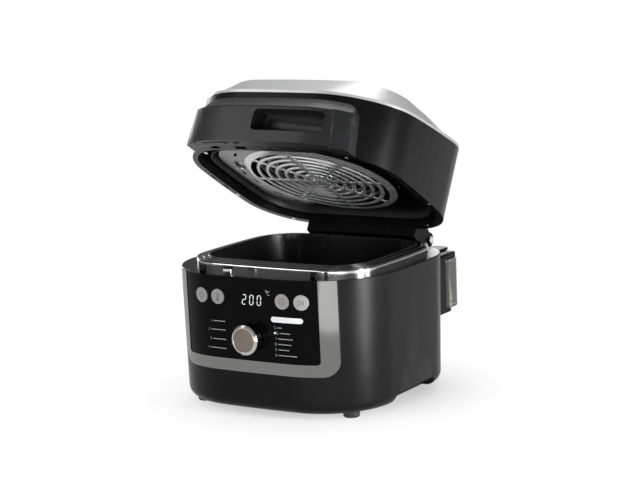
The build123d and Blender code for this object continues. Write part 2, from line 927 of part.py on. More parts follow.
def make_collector_cup():
    cup = cup_block(0, cup_low, cup_high)
    bevel = along_x(Polygon((cup_rear + 1, cup_low - 1), (cup_rear + 1, cup_low + cup_chamfer),
                            (cup_rear - cup_chamfer, cup_low - 1), align=None), 0, beyond)
    cup -= bevel
    hollow = cup_block(-cup_wall, cup_low + cup_wall, cup_high + 1)
    hollow -= Pos(0, -cup_wall, cup_wall) * bevel
    cup -= hollow
    lip = cup_block(0, cup_high - cup_lip_high, cup_high)
    return cup + lip - cup_block(-cup_wall - cup_lip_thick, cup_high - cup_lip_high - 1, cup_high + 1)


def make_collector_bracket():
    left = cup_left + bracket_left_step
    right = cup_right - bracket_right_step
    front = body_rear - 1.5 * behind_corner
    plate = box((left, right), (front, cup_front - cup_gap), (shelf_low, hood_top))
    shelf = box((left, right), (front, shelf_rear), (shelf_low, cup_low - cup_gap))
    hood = box((left, cup_right), (front, hood_rear), (cup_high + cup_gap, hood_top))
    rear_edge = hood.edges().filter_by(Axis.X).sort_by(Axis.Y)[-2:].sort_by(Axis.Z)[-1:]
    bracket = plate + shelf + fillet(rear_edge, hood_round)
    bracket -= body_block(0, deck_height)
    bracket -= rod_z((cup_left + cup_right) / 2, (cup_front + hood_rear) / 2, chute_radius,
                     chute_low, hood_top - chute_roof)
    return bracket - box((left + bracket_rib, right - bracket_rib), (0, cup_front - bracket_plate),
                         (hollow_low, hollow_high))


# Pot and crisping plate

def make_inner_pot():
    """A tapered tub hung by its flange on the polished rim."""
    def tub(extra, low, high):
        bottom = well.inset(pot_floor_inset + extra).face(low)
        top = well.inset(pot_mouth_inset + extra).face(high)
        shape = loft([bottom, top], ruled=True)
        return fillet(shape.faces().sort_by(Axis.Z)[0].edges(), pot_floor_round - extra)

    step = rim_top + pot_flange
    outer = tub(0, pot_floor, step + pot_lip)
    flange = upright(well, rim_top, step)
    flange = fillet(flange.edges(), flange_edge)
    ledge = upright(well.inset(pot_step_inset), step, step + pot_step)
    hollow = tub(pot_wall, pot_floor + pot_wall, step + pot_lip)
    return outer + flange + ledge - hollow


def make_crisper_plate():
    low = pot_floor + pot_wall + plate_foot
    edge = well.inset(pot_floor_inset + pot_wall + plate_gap)
    plate = upright(edge, low, low + plate_thick)
    plate += ring_of(edge, edge.inset(plate_thick), low, low + plate_rim)
    slot = extrude(SlotOverall(plate_slot, plate_slot_width), amount=plate_rim)
    for row in range(-6, 7):
        shift = plate_slot_shift if row % 2 else 0
        for column in range(-2, 3):
            x = column * plate_slot_step + shift
            y = row * plate_row_step + (well_rear - well_front) / 2
            if abs(x) < well_half_width - plate_margin:
                plate -= Pos(x, y, low - 1) * slot
    return plate


def make_plate_feet():
    low = pot_floor + pot_wall
    feet = []
    side = well_half_width - plate_foot_inset
    for x in (-side, side):
        for y in (plate_foot_end - well_front, well_rear - plate_foot_end):
            feet.append(rod_z(x, y, plate_foot_radius, low, low + plate_foot))
    return group(feet)


# Lid, modelled shut

def shell_line(y, lift=0.0):
    """Height of the shell's sloping upper edge at depth y."""
    return lid_z + lid_front_height + lid_slope * (y + body_front) + lift


def under_slope(lift=0.0):
    profile = Polygon((-beyond, 0), (beyond, 0), (beyond, shell_line(beyond, lift)),
                      (-beyond, shell_line(-beyond, lift)), align=None)
    return along_x(profile, -beyond, beyond)


def block_front(half_low, half_top, high, corner):
    """The handle block's front view: a trapezium with two round upper corners."""
    low = lid_z
    outline = Polygon((-half_low, low), (half_low, low), (half_top, low + high),
                      (-half_top, low + high), align=None)
    outline = fillet(outline.vertices().sort_by(Axis.Y)[-2:], corner)
    return along_y(outline, -beyond, -body_front / 3)


def grip_hole(grow=0.0):
    wide = grip_width + 2 * grow
    tall = grip_high - grip_low + 2 * grow
    middle = (grip_x, lid_z + (grip_low + grip_high) / 2)
    outline = Pos(*middle) * RectangleRounded(wide, tall, grip_corner + grow)
    back = -body_front - block_reach + grip_depth
    return along_y(outline, -beyond, back + grow)


def make_lid_shell():
    shell = ring_of(body, body.inset(lid_wall), lid_z, beyond) & under_slope()
    shell -= grip_hole(grip_wall + fit_gap)
    for step in range(exhaust_count):
        x = (step - (exhaust_count - 1) / 2) * exhaust_pitch
        shell -= box((x - exhaust_width / 2, x + exhaust_width / 2), (0, beyond),
                     (lid_z + exhaust_low, lid_z + exhaust_high))
    return shell


def cover_dome(inset, drop):
    tilt = degrees(atan2(lid_slope, 1))
    low = body.inset(cover_step + inset).face()
    low = Pos(0, 0, shell_line(0, cover_band - drop)) * (Rot(tilt, 0, 0) * low)
    top = body.inset(cover_side_inset + inset, cover_front_inset + inset,
                     cover_rear_inset + inset).face(lid_z + cover_top - drop)
    dome = loft([low, top], ruled=True)
    return fillet(dome.faces().sort_by(Axis.Z)[-1].edges(), cover_round)


def make_lid_cover():
    band = upright(body.inset(cover_side_gap), lid_z, beyond) & under_slope(cover_band)
    band -= under_slope(cover_seat)
    cover = band + cover_dome(0, 0)
    hollow = upright(body.inset(cover_side_gap + cover_wall), lid_z, beyond)
    hollow &= under_slope(cover_band - cover_wall)
    return cover - hollow - cover_dome(cover_wall, cover_wall)


def make_handle_shroud():
    edge = lid_z + face_height + block_ledge
    low = upright(body.inset(-block_reach), lid_z, edge)
    middle = body.inset(-block_reach * block_slope_share).face(edge + block_slope_rise)
    top = body.inset(-block_top_proud).face(lid_z + block_height)
    slope = loft([body.inset(-block_reach).face(edge), middle], ruled=True)
    slope += loft([middle, top], ruled=True)
    block = (low + slope) & block_front(block_half_low, block_half_top, block_height, block_corner)
    block -= upright(body, 0, beyond)
    recess = block_front(face_half_low + panel_gap, face_half_top + panel_gap,
                         face_height + panel_gap, face_corner)
    recess -= upright(body.inset(face_thick - block_reach), 0, beyond)
    block -= recess
    return block - grip_hole(grip_wall + fit_gap)


def make_handle_face():
    plate = ring_of(body.inset(-block_reach), body.inset(face_thick - block_reach), 0, beyond)
    plate &= block_front(face_half_low, face_half_top, face_height, face_corner)
    return plate - grip_hole()


def make_grip_pocket():
    pocket = grip_hole(grip_wall) - grip_hole()
    return pocket & upright(body.inset(face_thick - block_reach), 0, beyond)


def lid_posts(places, radius, low, high):
    return [rod_z(x, y, radius, low, high) for x, y in places]


def make_lid_rim():
    roof = lid_z + channel_height
    inner = body.inset(lid_wall)
    rim = upright(inner, lid_z, lid_z + rim_thick) - upright(channel, 0, beyond)
    rim += ring_of(channel.inset(-channel_wall), channel, lid_z, roof)
    pockets = [(x, y, lug_width) for x, y in lug_places] + [(catch_x, catch_y, catch_width + 2)]
    for x, y, width in pockets:
        rim -= box((x - width / 2 - lug_play, x + width / 2 + lug_play),
                   (y - lug_depth / 2 - lug_play, y + lug_depth / 2 + lug_play),
                   (lid_z - 1, lid_z + rim_thick + 1))
    for x, y, turn in rim_slots:
        slot = SlotOverall(rim_slot_long, rim_slot_wide, rotation=turn)
        rim -= Pos(x, y, lid_z - 1) * extrude(slot, amount=2)
    return rim - make_rim_screws()


def make_seal_carrier():
    """The flat ring over the channel, which holds the seal."""
    roof = lid_z + channel_height
    return ring_of(channel, pan, roof - channel_wall, roof)


def make_rim_screws():
    places = [(side * x, y) for side in (-1, 1) for x, y in rim_screw_places]
    heads = lid_posts(places, rim_head, lid_z - rim_head_high, lid_z)
    shanks = lid_posts(places, rim_shank, lid_z, lid_z + rim_thick)
    return group([head + shank for head, shank in zip(heads, shanks)])


def make_lid_seal():
    roof = lid_z + channel_height - channel_wall
    low = rim_top + pot_flange + seal_gap
    base = ring_of(well.inset(seal_outer), well.inset(seal_inner), roof - seal_base, roof)
    lip = ring_of(well.inset(lip_outer), well.inset(lip_inner), low, roof - seal_base)
    return base + lip


def make_lid_pan():
    low = lid_z + pan_height
    roof = lid_z + channel_height
    plate = upright(pan, low, low + pan_wall)
    plate += ring_of(pan, pan.inset(pan_wall), low, roof)
    plate -= rod_z(0, guard_y, guard_radius, low - 1, low + 2)
    for side in (-1, 1):
        for inset, y, long, turn in pan_slots:
            slot = extrude(SlotOverall(long, pan_slot_wide, rotation=side * turn), amount=4)
            plate -= Pos(side * (pan_half_width - inset), y, low - 2) * slot
    return plate


def guard_turned(profile):
    """A ring about the fan's axis, from (radius, height) points above the guard's face."""
    section = Plane.XZ * Polygon(*profile, align=None)
    return Pos(0, guard_y, lid_z + guard_height) * revolve(section, Axis.Z, 360)


def make_fan_guard():
    """A pressed guard: a sloping rim, concentric bars with bevelled edges, and radial spokes."""
    rise = pan_height - guard_height
    edge = slot_first + (slot_count - 1) * slot_pitch + slot_width / 2
    guard = guard_turned([(edge, 0), (guard_radius, 0), (guard_rim_radius, rise - guard_seat_gap),
                          (guard_rim_radius, rise), (guard_radius - guard_lip, rise),
                          (guard_radius - guard_turn, guard_thick), (edge, guard_thick)])
    bar = slot_pitch - slot_width
    bevel = bar * guard_bevel
    for number in range(slot_count - 1):
        inner = slot_first + number * slot_pitch + slot_width / 2
        guard += guard_turned([(inner, guard_thick), (inner + bevel, 0), (inner + bar - bevel, 0),
                               (inner + bar, guard_thick)])
    hub = slot_first - slot_width / 2
    guard += guard_turned([(0, -hub_drop), (hub - hub_bevel, -hub_drop), (hub, guard_thick),
                           (0, guard_thick)])
    low = lid_z + guard_height + guard_thick / 2
    for number in range(spoke_count):
        spoke = box((hub - spoke_lap, edge + 1), (-spoke_width / 2, spoke_width / 2),
                    (low, low + guard_thick))
        guard += Pos(0, guard_y, 0) * (Rot(0, 0, number * 360 / spoke_count) * spoke)
    return guard


def make_air_dome():
    low = lid_z + pan_height + pan_wall
    top = lid_z + dome_height
    dome = rod_z(0, guard_y, dome_radius, low, top)
    dome = fillet(dome.faces().sort_by(Axis.Z)[-1].edges(), dome_round)
    hollow = rod_z(0, guard_y, dome_radius - dome_wall, low - 1, top - dome_wall)
    hollow = fillet(hollow.faces().sort_by(Axis.Z)[-1].edges(), dome_round - dome_wall)
    dome -= hollow
    flange = rod_z(0, guard_y, dome_radius + dome_flange, low, low + dome_wall)
    dome += flange - rod_z(0, guard_y, dome_radius - dome_wall / 2, low - 1, low + 5)
    for x, y in coil_terminals():
        dome -= rod_z(x, y, coil_wire / 2 + fit_gap, top - 5, top + 5)
    return dome - rod_z(0, guard_y, motor_shaft_radius + shaft_room, top - 5, top + 5)


def make_heater_coil():
    """One sheathed element: rings joined by steps, and two terminals up through the dome."""
    radius = coil_wire / 2
    wire = Circle(radius)
    coil = None
    for number, ring in enumerate(coil_radii):
        last = number == len(coil_radii) - 1
        turn = 360 - (1 if last else 2) * coil_open
        section = Plane.XZ * (Pos(ring, 0) * wire)
        piece = Rot(0, 0, 0 if last else coil_open) * revolve(section, Axis.Z, turn)
        coil = piece if coil is None else coil + piece
    for number, (ring, following) in enumerate(zip(coil_radii, coil_radii[1:])):
        angle = coil_open if number % 2 else -coil_open
        coil += coil_run(ring, following, angle)
    coil += coil_run(coil_radii[0], coil_radii[-1], 0)
    coil = Pos(0, guard_y, lid_z + coil_height) * coil
    for x, y in coil_terminals():
        coil += rod_z(x, y, radius, lid_z + coil_height, lid_z + dome_height + terminal_rise)
        coil += Pos(x, y, lid_z + coil_height) * Sphere(radius)
    return coil


def coil_run(start_radius, end_radius, angle):
    """A straight run of element between two rings at one angle."""
    start = Vector(*polar(start_radius, angle))
    run = Vector(*polar(end_radius, angle)) - start
    return extrude(Plane(origin=start, z_dir=run) * Circle(coil_wire / 2), amount=run.length)


def coil_terminals():
    return [polar(coil_radii[0], angle, (0, guard_y)) for angle in (coil_open, 0)]


def make_motor_bracket():
    low = lid_z + dome_height
    top = low + mount_plate
    plate = rod_z(0, guard_y, motor_radius + mount_lap, low, top)
    arm = box((motor_radius, dome_radius - mount_arm_end), (-mount_arm / 2, mount_arm / 2), (low, top))
    for angle in (45, 135, 225, 315):
        plate += Pos(0, guard_y, 0) * (Rot(0, 0, angle) * arm)
    return plate - rod_z(0, guard_y, motor_shaft_radius + shaft_room, low - 1, top + 1)


def make_fan_motor():
    low = lid_z + dome_height + mount_plate
    top = low + motor_height
    motor = rod_z(0, guard_y, motor_radius, low, top)
    motor = fillet(motor.edges().sort_by(Axis.Z)[-1:], motor_round)
    motor += rod_z(0, guard_y, motor_boss, top - 1, top + motor_boss_rise)
    return motor - rod_z(0, guard_y, motor_shaft_radius + shaft_play, 0, beyond)


def make_motor_shaft():
    return rod_z(0, guard_y, motor_shaft_radius, lid_z + fan_height, lid_z + shaft_top)


def make_convection_fan():
    low = lid_z + fan_height
    top = low + fan_blade_height
    fan = rod_z(0, guard_y, fan_radius - fan_disc_inset, top, top + fan_disc)
    fan += rod_z(0, guard_y, fan_hub_radius, low + fan_hub_rise, top)
    start = fan_radius * fan_blade_start
    blade_top = top + fan_disc / 2
    blade = box((0, fan_radius - start), (-fan_blade_thick / 2, fan_blade_thick / 2), (low, blade_top))
    blade = Pos(start, 0, 0) * (Rot(0, 0, fan_blade_lean) * blade)
    blade &= rod_z(0, 0, fan_radius, low, blade_top)
    for number in range(fan_blades):
        fan += Pos(0, guard_y, 0) * (Rot(0, 0, number * 360 / fan_blades) * blade)
    return fan - rod_z(0, guard_y, motor_shaft_radius, 0, beyond)


def make_cooling_fan():
    low = lid_z + shaft_top - cooler_deep
    fan = rod_z(0, guard_y, cooler_hub, low, low + cooler_deep)
    half = cooler_deep / 2 - cooler_blade_gap
    blade = box((cooler_start, cooler_radius), (-cooler_blade_thick / 2, cooler_blade_thick / 2),
                (-half, half))
    blade = Pos(0, guard_y, low + cooler_deep / 2) * (Rot(cooler_blade_tilt, 0, 0) * blade)
    about = Axis((0, guard_y, 0), (0, 0, 1))
    for number in range(cooler_blades):
        fan += blade.rotate(about, number * 360 / cooler_blades)
    return fan - rod_z(0, guard_y, motor_shaft_radius, 0, beyond)


def make_lid_sensor():
    """A temperature probe in a clip on the pan's left, outside the guard's rim."""
    low = lid_z + pan_height
    half, deep, high = sensor_clip
    clip = box((sensor_x - half, sensor_x + half), (sensor_y - deep, sensor_y + deep),
               (low - high, low))
    return clip + rod_y(sensor_x, low - probe_drop, probe_radius, sensor_y - probe_long,
                        sensor_y + deep)


def tail_profile(shrink=0.0):
    """Side view of the lid's tail: a wedge under and behind the lid that ends in the knuckle."""
    top = lid_z + tail_rise
    front = body_rear - tail_lap
    wedge = Polygon((tail_front, tail_low), (tail_front + tail_nose, tail_low - tail_nose_drop),
                    (hinge_y, hinge_z - knuckle_radius),
                    (hinge_y - knuckle_step, hinge_z + knuckle_radius - shoulder_drop),
                    (body_rear + tail_back_gap, top), (front, top), (front, lid_z),
                    (tail_front, lid_z), align=None)
    if shrink:
        wedge = offset(wedge, -shrink, kind=Kind.INTERSECTION)
    return wedge + Pos(hinge_y, hinge_z) * Circle(knuckle_radius - shrink)


def make_lid_tail():
    tail = along_x(tail_profile(), -tail_half_width, tail_half_width)
    tail -= upright(body, lid_z, beyond)
    hollow = tail_profile(tail_wall)
    web = ear_x - ear_thick / 2 - ear_gap - tail_wall
    inside = along_x(hollow, -web + tail_wall, web - tail_wall)
    for side in (-1, 1):
        near, far = sorted((side * web, side * (tail_half_width - tail_wall)))
        inside += along_x(hollow, near, far)
    tail -= inside - upright(body.inset(-tail_wall), lid_z, beyond)
    reach = knuckle_radius + 1
    for side in (-1, 1):
        half = ear_thick / 2 + ear_gap
        x = (side * ear_x - half, side * ear_x + half)
        tail -= box(x, (hinge_y - reach, beyond), (0, hinge_z))
        tail -= box(x, (hinge_y, beyond), (hinge_z - 1, hinge_z + reach))
        tail -= rod_x(hinge_y, hinge_z, reach, *x)
    for low, high in tail_pockets:
        for side in (-1, 1):
            near, far = sorted((side * low, side * high))
            tail -= box((near, far), (tail_front + tail_pocket_front, tail_front + tail_pocket_rear),
                        (tail_low - tail_pocket_deep, tail_low + 1))
    return tail - rod_x(hinge_y, hinge_z, pin_radius, -beyond, beyond)


def make_hinge_pins():
    web = ear_x - ear_thick / 2 - ear_gap - tail_wall
    pin = rod_x(hinge_y, hinge_z, pin_radius, web - tail_wall, tail_half_width)
    head = rod_x(hinge_y, hinge_z, pin_head, tail_half_width, tail_half_width + pin_head_thick)
    head = fillet(head.edges().sort_by(Axis.X)[-1:], pin_head_round)
    return group(both_sides(pin + head))


def at_rest(shape):
    """Swing a lid piece from shut to the angle at which the lid rests open."""
    return shape.rotate(hinge_axis, -rest_angle)


def save(name, shape):
    export_step(Pos(0, -set_back, 0) * shape, f"parts/{name}.step")


base_pieces = {
    "base_housing": make_base_housing,
    "base_floor": make_base_floor,
    "floor_screws": make_floor_screws,
    "foot_pads": make_foot_pads,
    "deck_ring": make_deck_ring,
    "steel_rim": make_steel_rim,
    "heating_well": make_heating_well,
    "heat_shield": make_heat_shield,
    "base_heater": make_base_heater,
    "well_thermostat": make_well_thermostat,
    "power_board": make_power_board,
    "chrome_frame": make_chrome_frame,
    "glass_panel": make_glass_panel,
    "board_carrier": make_board_carrier,
    "control_board": make_control_board,
    "display_module": make_display_module,
    "tact_switches": make_tact_switches,
    "knob_encoder": make_knob_encoder,
    "guide_lugs": make_guide_lugs,
    "catch_post": make_catch_post,
    "catch_cap": make_catch_cap,
    "interlock_switch": make_interlock_switch,
    "rear_housing": make_rear_housing,
    "hinge_bracket": make_hinge_bracket,
    "hinge_springs": make_hinge_springs,
    "cord_gland": make_cord_gland,
    "collector_bracket": make_collector_bracket,
    "collector_cup": make_collector_cup,
    "knob_body": make_knob_body,
    "knob_face": make_knob_face,
    "knob_shaft": make_knob_shaft,
    "inner_pot": make_inner_pot,
    "crisper_plate": make_crisper_plate,
    "plate_feet": make_plate_feet,
}

lid_pieces = {
    "lid_shell": make_lid_shell,
    "lid_cover": make_lid_cover,
    "handle_shroud": make_handle_shroud,
    "handle_face": make_handle_face,
    "grip_pocket": make_grip_pocket,
    "lid_rim": make_lid_rim,
    "seal_carrier": make_seal_carrier,
    "rim_screws": make_rim_screws,
    "lid_seal": make_lid_seal,
    "lid_pan": make_lid_pan,
    "fan_guard": make_fan_guard,
    "air_dome": make_air_dome,
    "heater_coil": make_heater_coil,
    "motor_bracket": make_motor_bracket,
    "fan_motor": make_fan_motor,
    "motor_shaft": make_motor_shaft,
    "convection_fan": make_convection_fan,
    "cooling_fan": make_cooling_fan,
    "lid_sensor": make_lid_sensor,
    "lid_tail": make_lid_tail,
    "hinge_pins": make_hinge_pins,
}

button_names = ("power_button", "temperature_button", "timer_button", "start_button")

os.makedirs("parts", exist_ok=True)
for name, make in base_pieces.items():
    save(name, make())
for name, make in lid_pieces.items():
    save(name, at_rest(make()))
for name, x in zip(button_names, button_x):
    save(name, button(x))
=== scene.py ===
# %% [markdown]
# # A steam air fryer, dressed
# The machine's parts come from a imported CAD model that can't be moved. This notebook loads them
# and gives each one the surface that the real machine shows: fine matt plastic, satin silver
# paint, polished and brushed steel, smoked glass, a non-stick coating and rubber.
# The largest skins are worked out again as smooth numpy surfaces, because a CAD export is made of
# flat triangles whose edges show in a soft highlight.

# %% Load the frame and group its parts into bodies
import json
from math import atan, cos, pi, radians, sin, sqrt

import bmesh
import bpy
import numpy as np
from mathutils import Matrix, Vector

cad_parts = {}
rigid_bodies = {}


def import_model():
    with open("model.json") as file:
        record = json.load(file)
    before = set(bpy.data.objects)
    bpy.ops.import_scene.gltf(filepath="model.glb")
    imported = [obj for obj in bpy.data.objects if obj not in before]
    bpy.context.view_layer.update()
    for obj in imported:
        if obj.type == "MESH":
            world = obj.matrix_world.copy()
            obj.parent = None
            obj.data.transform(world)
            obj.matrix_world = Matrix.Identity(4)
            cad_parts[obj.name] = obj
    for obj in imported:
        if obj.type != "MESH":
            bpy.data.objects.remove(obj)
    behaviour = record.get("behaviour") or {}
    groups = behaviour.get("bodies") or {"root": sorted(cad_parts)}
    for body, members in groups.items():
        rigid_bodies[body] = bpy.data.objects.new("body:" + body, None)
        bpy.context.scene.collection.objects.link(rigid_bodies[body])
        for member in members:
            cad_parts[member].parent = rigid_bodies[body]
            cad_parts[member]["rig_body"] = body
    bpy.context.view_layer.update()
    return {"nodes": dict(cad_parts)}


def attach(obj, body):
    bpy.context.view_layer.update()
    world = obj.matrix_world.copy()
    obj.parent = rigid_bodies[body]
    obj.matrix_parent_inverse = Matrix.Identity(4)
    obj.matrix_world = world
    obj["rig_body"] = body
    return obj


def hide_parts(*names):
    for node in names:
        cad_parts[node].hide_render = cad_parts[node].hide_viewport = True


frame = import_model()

NODES = frame["nodes"]
SET_BACK = 0.017

# %% [markdown]
# ## The camera
# A product photograph is taken from far away with a long lens, so that parallel edges stay almost
# parallel. The place of this camera was worked out from straight and round edges of the machine:
# about 32 degrees to the right of the front, looking down by 11 degrees, 2.7 m away. A camera's
# three axes make the columns of its matrix. They are built from the two angles, rolled by two
# degrees, and then turned a little so that the machine stands where it does in the picture.

# %% Camera
AZIMUTH, ELEVATION, ROLL = radians(31.62), radians(11.38), radians(-2.1)
DISTANCE = 2.6668
AIM = Vector((0, -SET_BACK, 0.130))
FOCAL_PIXELS = 1893.7
FRAME_WIDTH, FRAME_HEIGHT = 640, 480
AIM_PIXEL = (312.0, 301.0)
SENSOR = 36.0

back = Vector((sin(AZIMUTH) * cos(ELEVATION), -cos(AZIMUTH) * cos(ELEVATION), sin(ELEVATION)))
level = Vector((cos(AZIMUTH), sin(AZIMUTH), 0))
upward = back.cross(level)
across = level * cos(ROLL) + upward * sin(ROLL)
rise = upward * cos(ROLL) - level * sin(ROLL)
pitch = atan((AIM_PIXEL[1] - FRAME_HEIGHT / 2) / FOCAL_PIXELS)
yaw = atan((AIM_PIXEL[0] - FRAME_WIDTH / 2) / FOCAL_PIXELS)
axes = Matrix((across, rise, back)).transposed()
axes = axes @ Matrix.Rotation(pitch, 3, "X") @ Matrix.Rotation(yaw, 3, "Y")

lens = bpy.data.cameras.new("photo_view")
lens.sensor_width = SENSOR
lens.lens = FOCAL_PIXELS * SENSOR / FRAME_WIDTH
lens.clip_end = 100
camera = bpy.data.objects.new("photo_view", lens)
camera.matrix_world = Matrix.Translation(AIM + back * DISTANCE) @ axes.to_4x4()
bpy.context.scene.collection.objects.link(camera)
bpy.context.scene.camera = camera
print("lens", round(lens.lens, 1), "mm at", [round(v, 3) for v in camera.location])

# %% [markdown]
# ## Measures taken from the machine
# Each large skin follows the same kind of outline: a rectangle with bowed sides and round corners,
# made of tangent arcs. Along such a chain of arcs the outward direction is known exactly, so the
# outline can be drawn in or let out by any distance without losing its smoothness. Everything is
# worked out about the middle of the body, which stands 17 mm in front of the frame's origin.

# %% The outline as a chain of arcs
BODY = dict(half=0.163, front=0.158, rear=0.149, corner_front=0.107, corner_rear=0.085)
WELL = dict(half=0.143, front=0.119, rear=0.133, corner_front=0.062, corner_rear=0.062)
BOW_SIDE, BOW_FRONT, BOW_REAR = 1.135, 1.457, 6.0
DECK, FOOT, DRAFT = 0.192, 0.008, 0.0037
ARC_STEPS = (12, 26, 14)


def corner_centre(half, end, end_arc, side_arc, corner, towards):
    """Where two circles cross: one side_arc - corner about the side's centre, the other
    end_arc - corner about the end's centre. A corner circle there touches both arcs."""
    side = np.array([half - side_arc, 0.0])
    middle = np.array([0.0, towards * (end - end_arc)])
    reach_side, reach_end = side_arc - corner, end_arc - corner
    apart = np.linalg.norm(middle - side)
    along = (reach_side ** 2 - reach_end ** 2 + apart ** 2) / (2 * apart)
    lift = sqrt(max(reach_side ** 2 - along ** 2, 0))
    unit = (middle - side) / apart
    sideways = np.array([-unit[1], unit[0]])
    found = [side + unit * along + sideways * lift, side + unit * along - sideways * lift]
    return max(found, key=lambda point: point[1] * towards)


def outline(half, front, rear, corner_front, corner_rear, grow=0.0):
    """Points P and outward directions N round the bowed rectangle, from the middle of the front.
    Each arc gives P = centre + radius * N with N = (cos a, sin a); the left half mirrors the
    right."""
    side_arc, front_arc, rear_arc = BOW_SIDE + grow, BOW_FRONT + grow, BOW_REAR + grow
    side = np.array([half - side_arc, 0.0])
    pieces = []
    for towards, end, end_arc, corner in ((-1, front, front_arc, corner_front),
                                          (1, rear, rear_arc, corner_rear)):
        middle = np.array([0.0, towards * (end - end_arc)])
        centre = corner_centre(half, end, end_arc, side_arc, corner, towards)
        on_end = np.arctan2(*(centre - middle)[::-1])
        on_side = np.arctan2(*(centre - side)[::-1])
        runs = [(middle, end_arc, towards * pi / 2, on_end, ARC_STEPS[0]),
                (centre, corner, on_end, on_side, ARC_STEPS[1]),
                (side, side_arc, on_side, 0.0, ARC_STEPS[2])]
        points = []
        for origin, radius, start, stop, count in runs:
            angle = np.linspace(start, stop, count, endpoint=False)
            normal = np.column_stack([np.cos(angle), np.sin(angle)])
            points.append(np.hstack([origin + radius * normal, normal]))
        points = np.vstack(points)
        pieces.append(points if towards < 0 else points[::-1])
    last = np.array([[half, 0.0, 1.0, 0.0]])
    right = np.vstack([pieces[0], last, pieces[1]])
    left = right[1:-1][::-1] * np.array([-1, 1, -1, 1])
    chain = np.vstack([right, left])
    return chain[:, :2], chain[:, 2:]


def lean(z):
    """How far the casing's wall has leaned in at height z: 3.7 mm over its whole height."""
    return DRAFT * (DECK - z) / (DECK - FOOT)


body_points, body_normals = outline(**BODY)
print("body outline:", len(body_points), "points, widest", round(float(body_points[:, 0].max()), 4))

# %% [markdown]
# ## From arrays to meshes
# A skin is a grid of points: rows go up the profile and columns go round the outline. Only the
# array is worked out; the faces follow from the grid's shape. Hard edges are found from
# the angle between faces, and large faces keep their own direction, as on a moulded part.

# %% Mesh helpers
MERGE, SLIVER = 1e-6, 1e-7
LATHE_STEPS = 96


def to_object(name, mesh, body, sharp):
    """Links a mesh at the origin, smooths it except at edges sharper than an angle, and makes it
    ride on a body."""
    mesh.polygons.foreach_set("use_smooth", [True] * len(mesh.polygons))
    mesh.set_sharp_from_angle(angle=radians(sharp))
    obj = bpy.data.objects.new(name, mesh)
    bpy.context.scene.collection.objects.link(obj)
    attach(obj, body)
    return obj


def tidy_mesh(name, points, faces):
    """Moves points from the body's middle to the frame, merges what touches and turns every face
    outwards: p' = p - (0, SET_BACK, 0)."""
    mesh = bpy.data.meshes.new(name)
    moved = np.asarray(points, float) - np.array([0, SET_BACK, 0])
    mesh.from_pydata(moved.tolist(), [], faces)
    work = bmesh.new()
    work.from_mesh(mesh)
    bmesh.ops.remove_doubles(work, verts=work.verts, dist=MERGE)
    bmesh.ops.dissolve_degenerate(work, edges=work.edges, dist=SLIVER)
    bmesh.ops.recalc_face_normals(work, faces=work.faces)
    work.to_mesh(mesh)
    work.free()
    return mesh


def skin_faces(rows, columns, closed_rows):
    """Quads between neighbouring points of a grid whose columns run round a closed outline."""
    last = rows if closed_rows else rows - 1
    row, column = np.meshgrid(np.arange(last), np.arange(columns), indexing="ij")
    below, beside = (row + 1) % rows, (column + 1) % columns
    quads = np.stack([row * columns + column, row * columns + beside,
                      below * columns + beside, below * columns + column], axis=-1)
    return quads.reshape(-1, 4).tolist()


def skin(name, grid, closed_rows=False, caps=()):
    """A mesh from a grid of shape (rows, columns, 3). A cap closes the first or last row."""
    rows, columns = grid.shape[:2]
    faces = skin_faces(rows, columns, closed_rows)
    for cap in caps:
        start = (rows - 1) * columns if cap else 0
        faces.append(list(range(start, start + columns)))
    return tidy_mesh(name, grid.reshape(-1, 3), faces)


def along_outline(points, normals, profile):
    """Carries a profile of (inset, height) pairs round an outline: (P - inset * N, height)."""
    inset, height = profile[:, 0][:, None, None], profile[:, 1]
    flat = points[None] - inset * normals[None]
    tall = np.broadcast_to(height[:, None, None], (*flat.shape[:2], 1))
    return np.concatenate([flat, tall], axis=2)


def fillet_profile(corners, rounds, steps):
    """A profile whose corners are rounded. At a corner C with unit directions a and b to its
    neighbours and radius r, the arc is a quadratic blend between C + a d and C + b d."""
    corners = np.asarray(corners, float)
    out = []
    for number, (corner, radius) in enumerate(zip(corners, rounds)):
        if radius == 0 or number in (0, len(corners) - 1):
            out.append(corner[None])
            continue
        to_last, to_next = corners[number - 1] - corner, corners[number + 1] - corner
        a = to_last / np.linalg.norm(to_last)
        b = to_next / np.linalg.norm(to_next)
        half = np.arccos(np.clip(a @ b, -1, 1)) / 2
        reach = radius / np.tan(half)
        middle = corner + (a + b) / np.linalg.norm(a + b) * radius / np.sin(half)
        start, end = corner + a * reach - middle, corner + b * reach - middle
        t = np.linspace(0, 1, steps + 1)[:, None]
        blend = start * (1 - t) + end * t
        out.append(middle + blend / np.linalg.norm(blend, axis=1)[:, None] * radius)
    return np.vstack(out)


REST_ANGLE, HINGE = radians(29.4), np.array([0, 0.187, 0.192])


def swing(grid):
    """Turns points worked out for a shut lid about the hinge to where the lid rests:
    p' = hinge + R (p - hinge), R a turn of -29.4 degrees about X."""
    c, s = cos(-REST_ANGLE), sin(-REST_ANGLE)
    turn = np.array([[1, 0, 0], [0, c, -s], [0, s, c]])
    return (grid - HINGE) @ turn.T + HINGE


def rounded_corner(tip, first, second, radius, steps):
    """The arc that rounds the corner at each column's tip T between unit directions a and b.
    With h half the angle between them: centre C = T + (a + b) / |a + b| * r / sin h, and the arc
    runs from T + a r / tan h to T + b r / tan h at distance r from C."""
    half = np.arccos(np.clip((first * second).sum(1), -1, 1))[:, None] / 2
    both = first + second
    centre = tip + both / np.linalg.norm(both, axis=1)[:, None] * radius / np.sin(half)
    start = tip + first * radius / np.tan(half) - centre
    end = tip + second * radius / np.tan(half) - centre
    rows = []
    for t in np.linspace(0, 1, steps + 1):
        spoke = start * (1 - t) + end * t
        rows.append(centre + spoke / np.linalg.norm(spoke, axis=1)[:, None] * radius)
    return rows


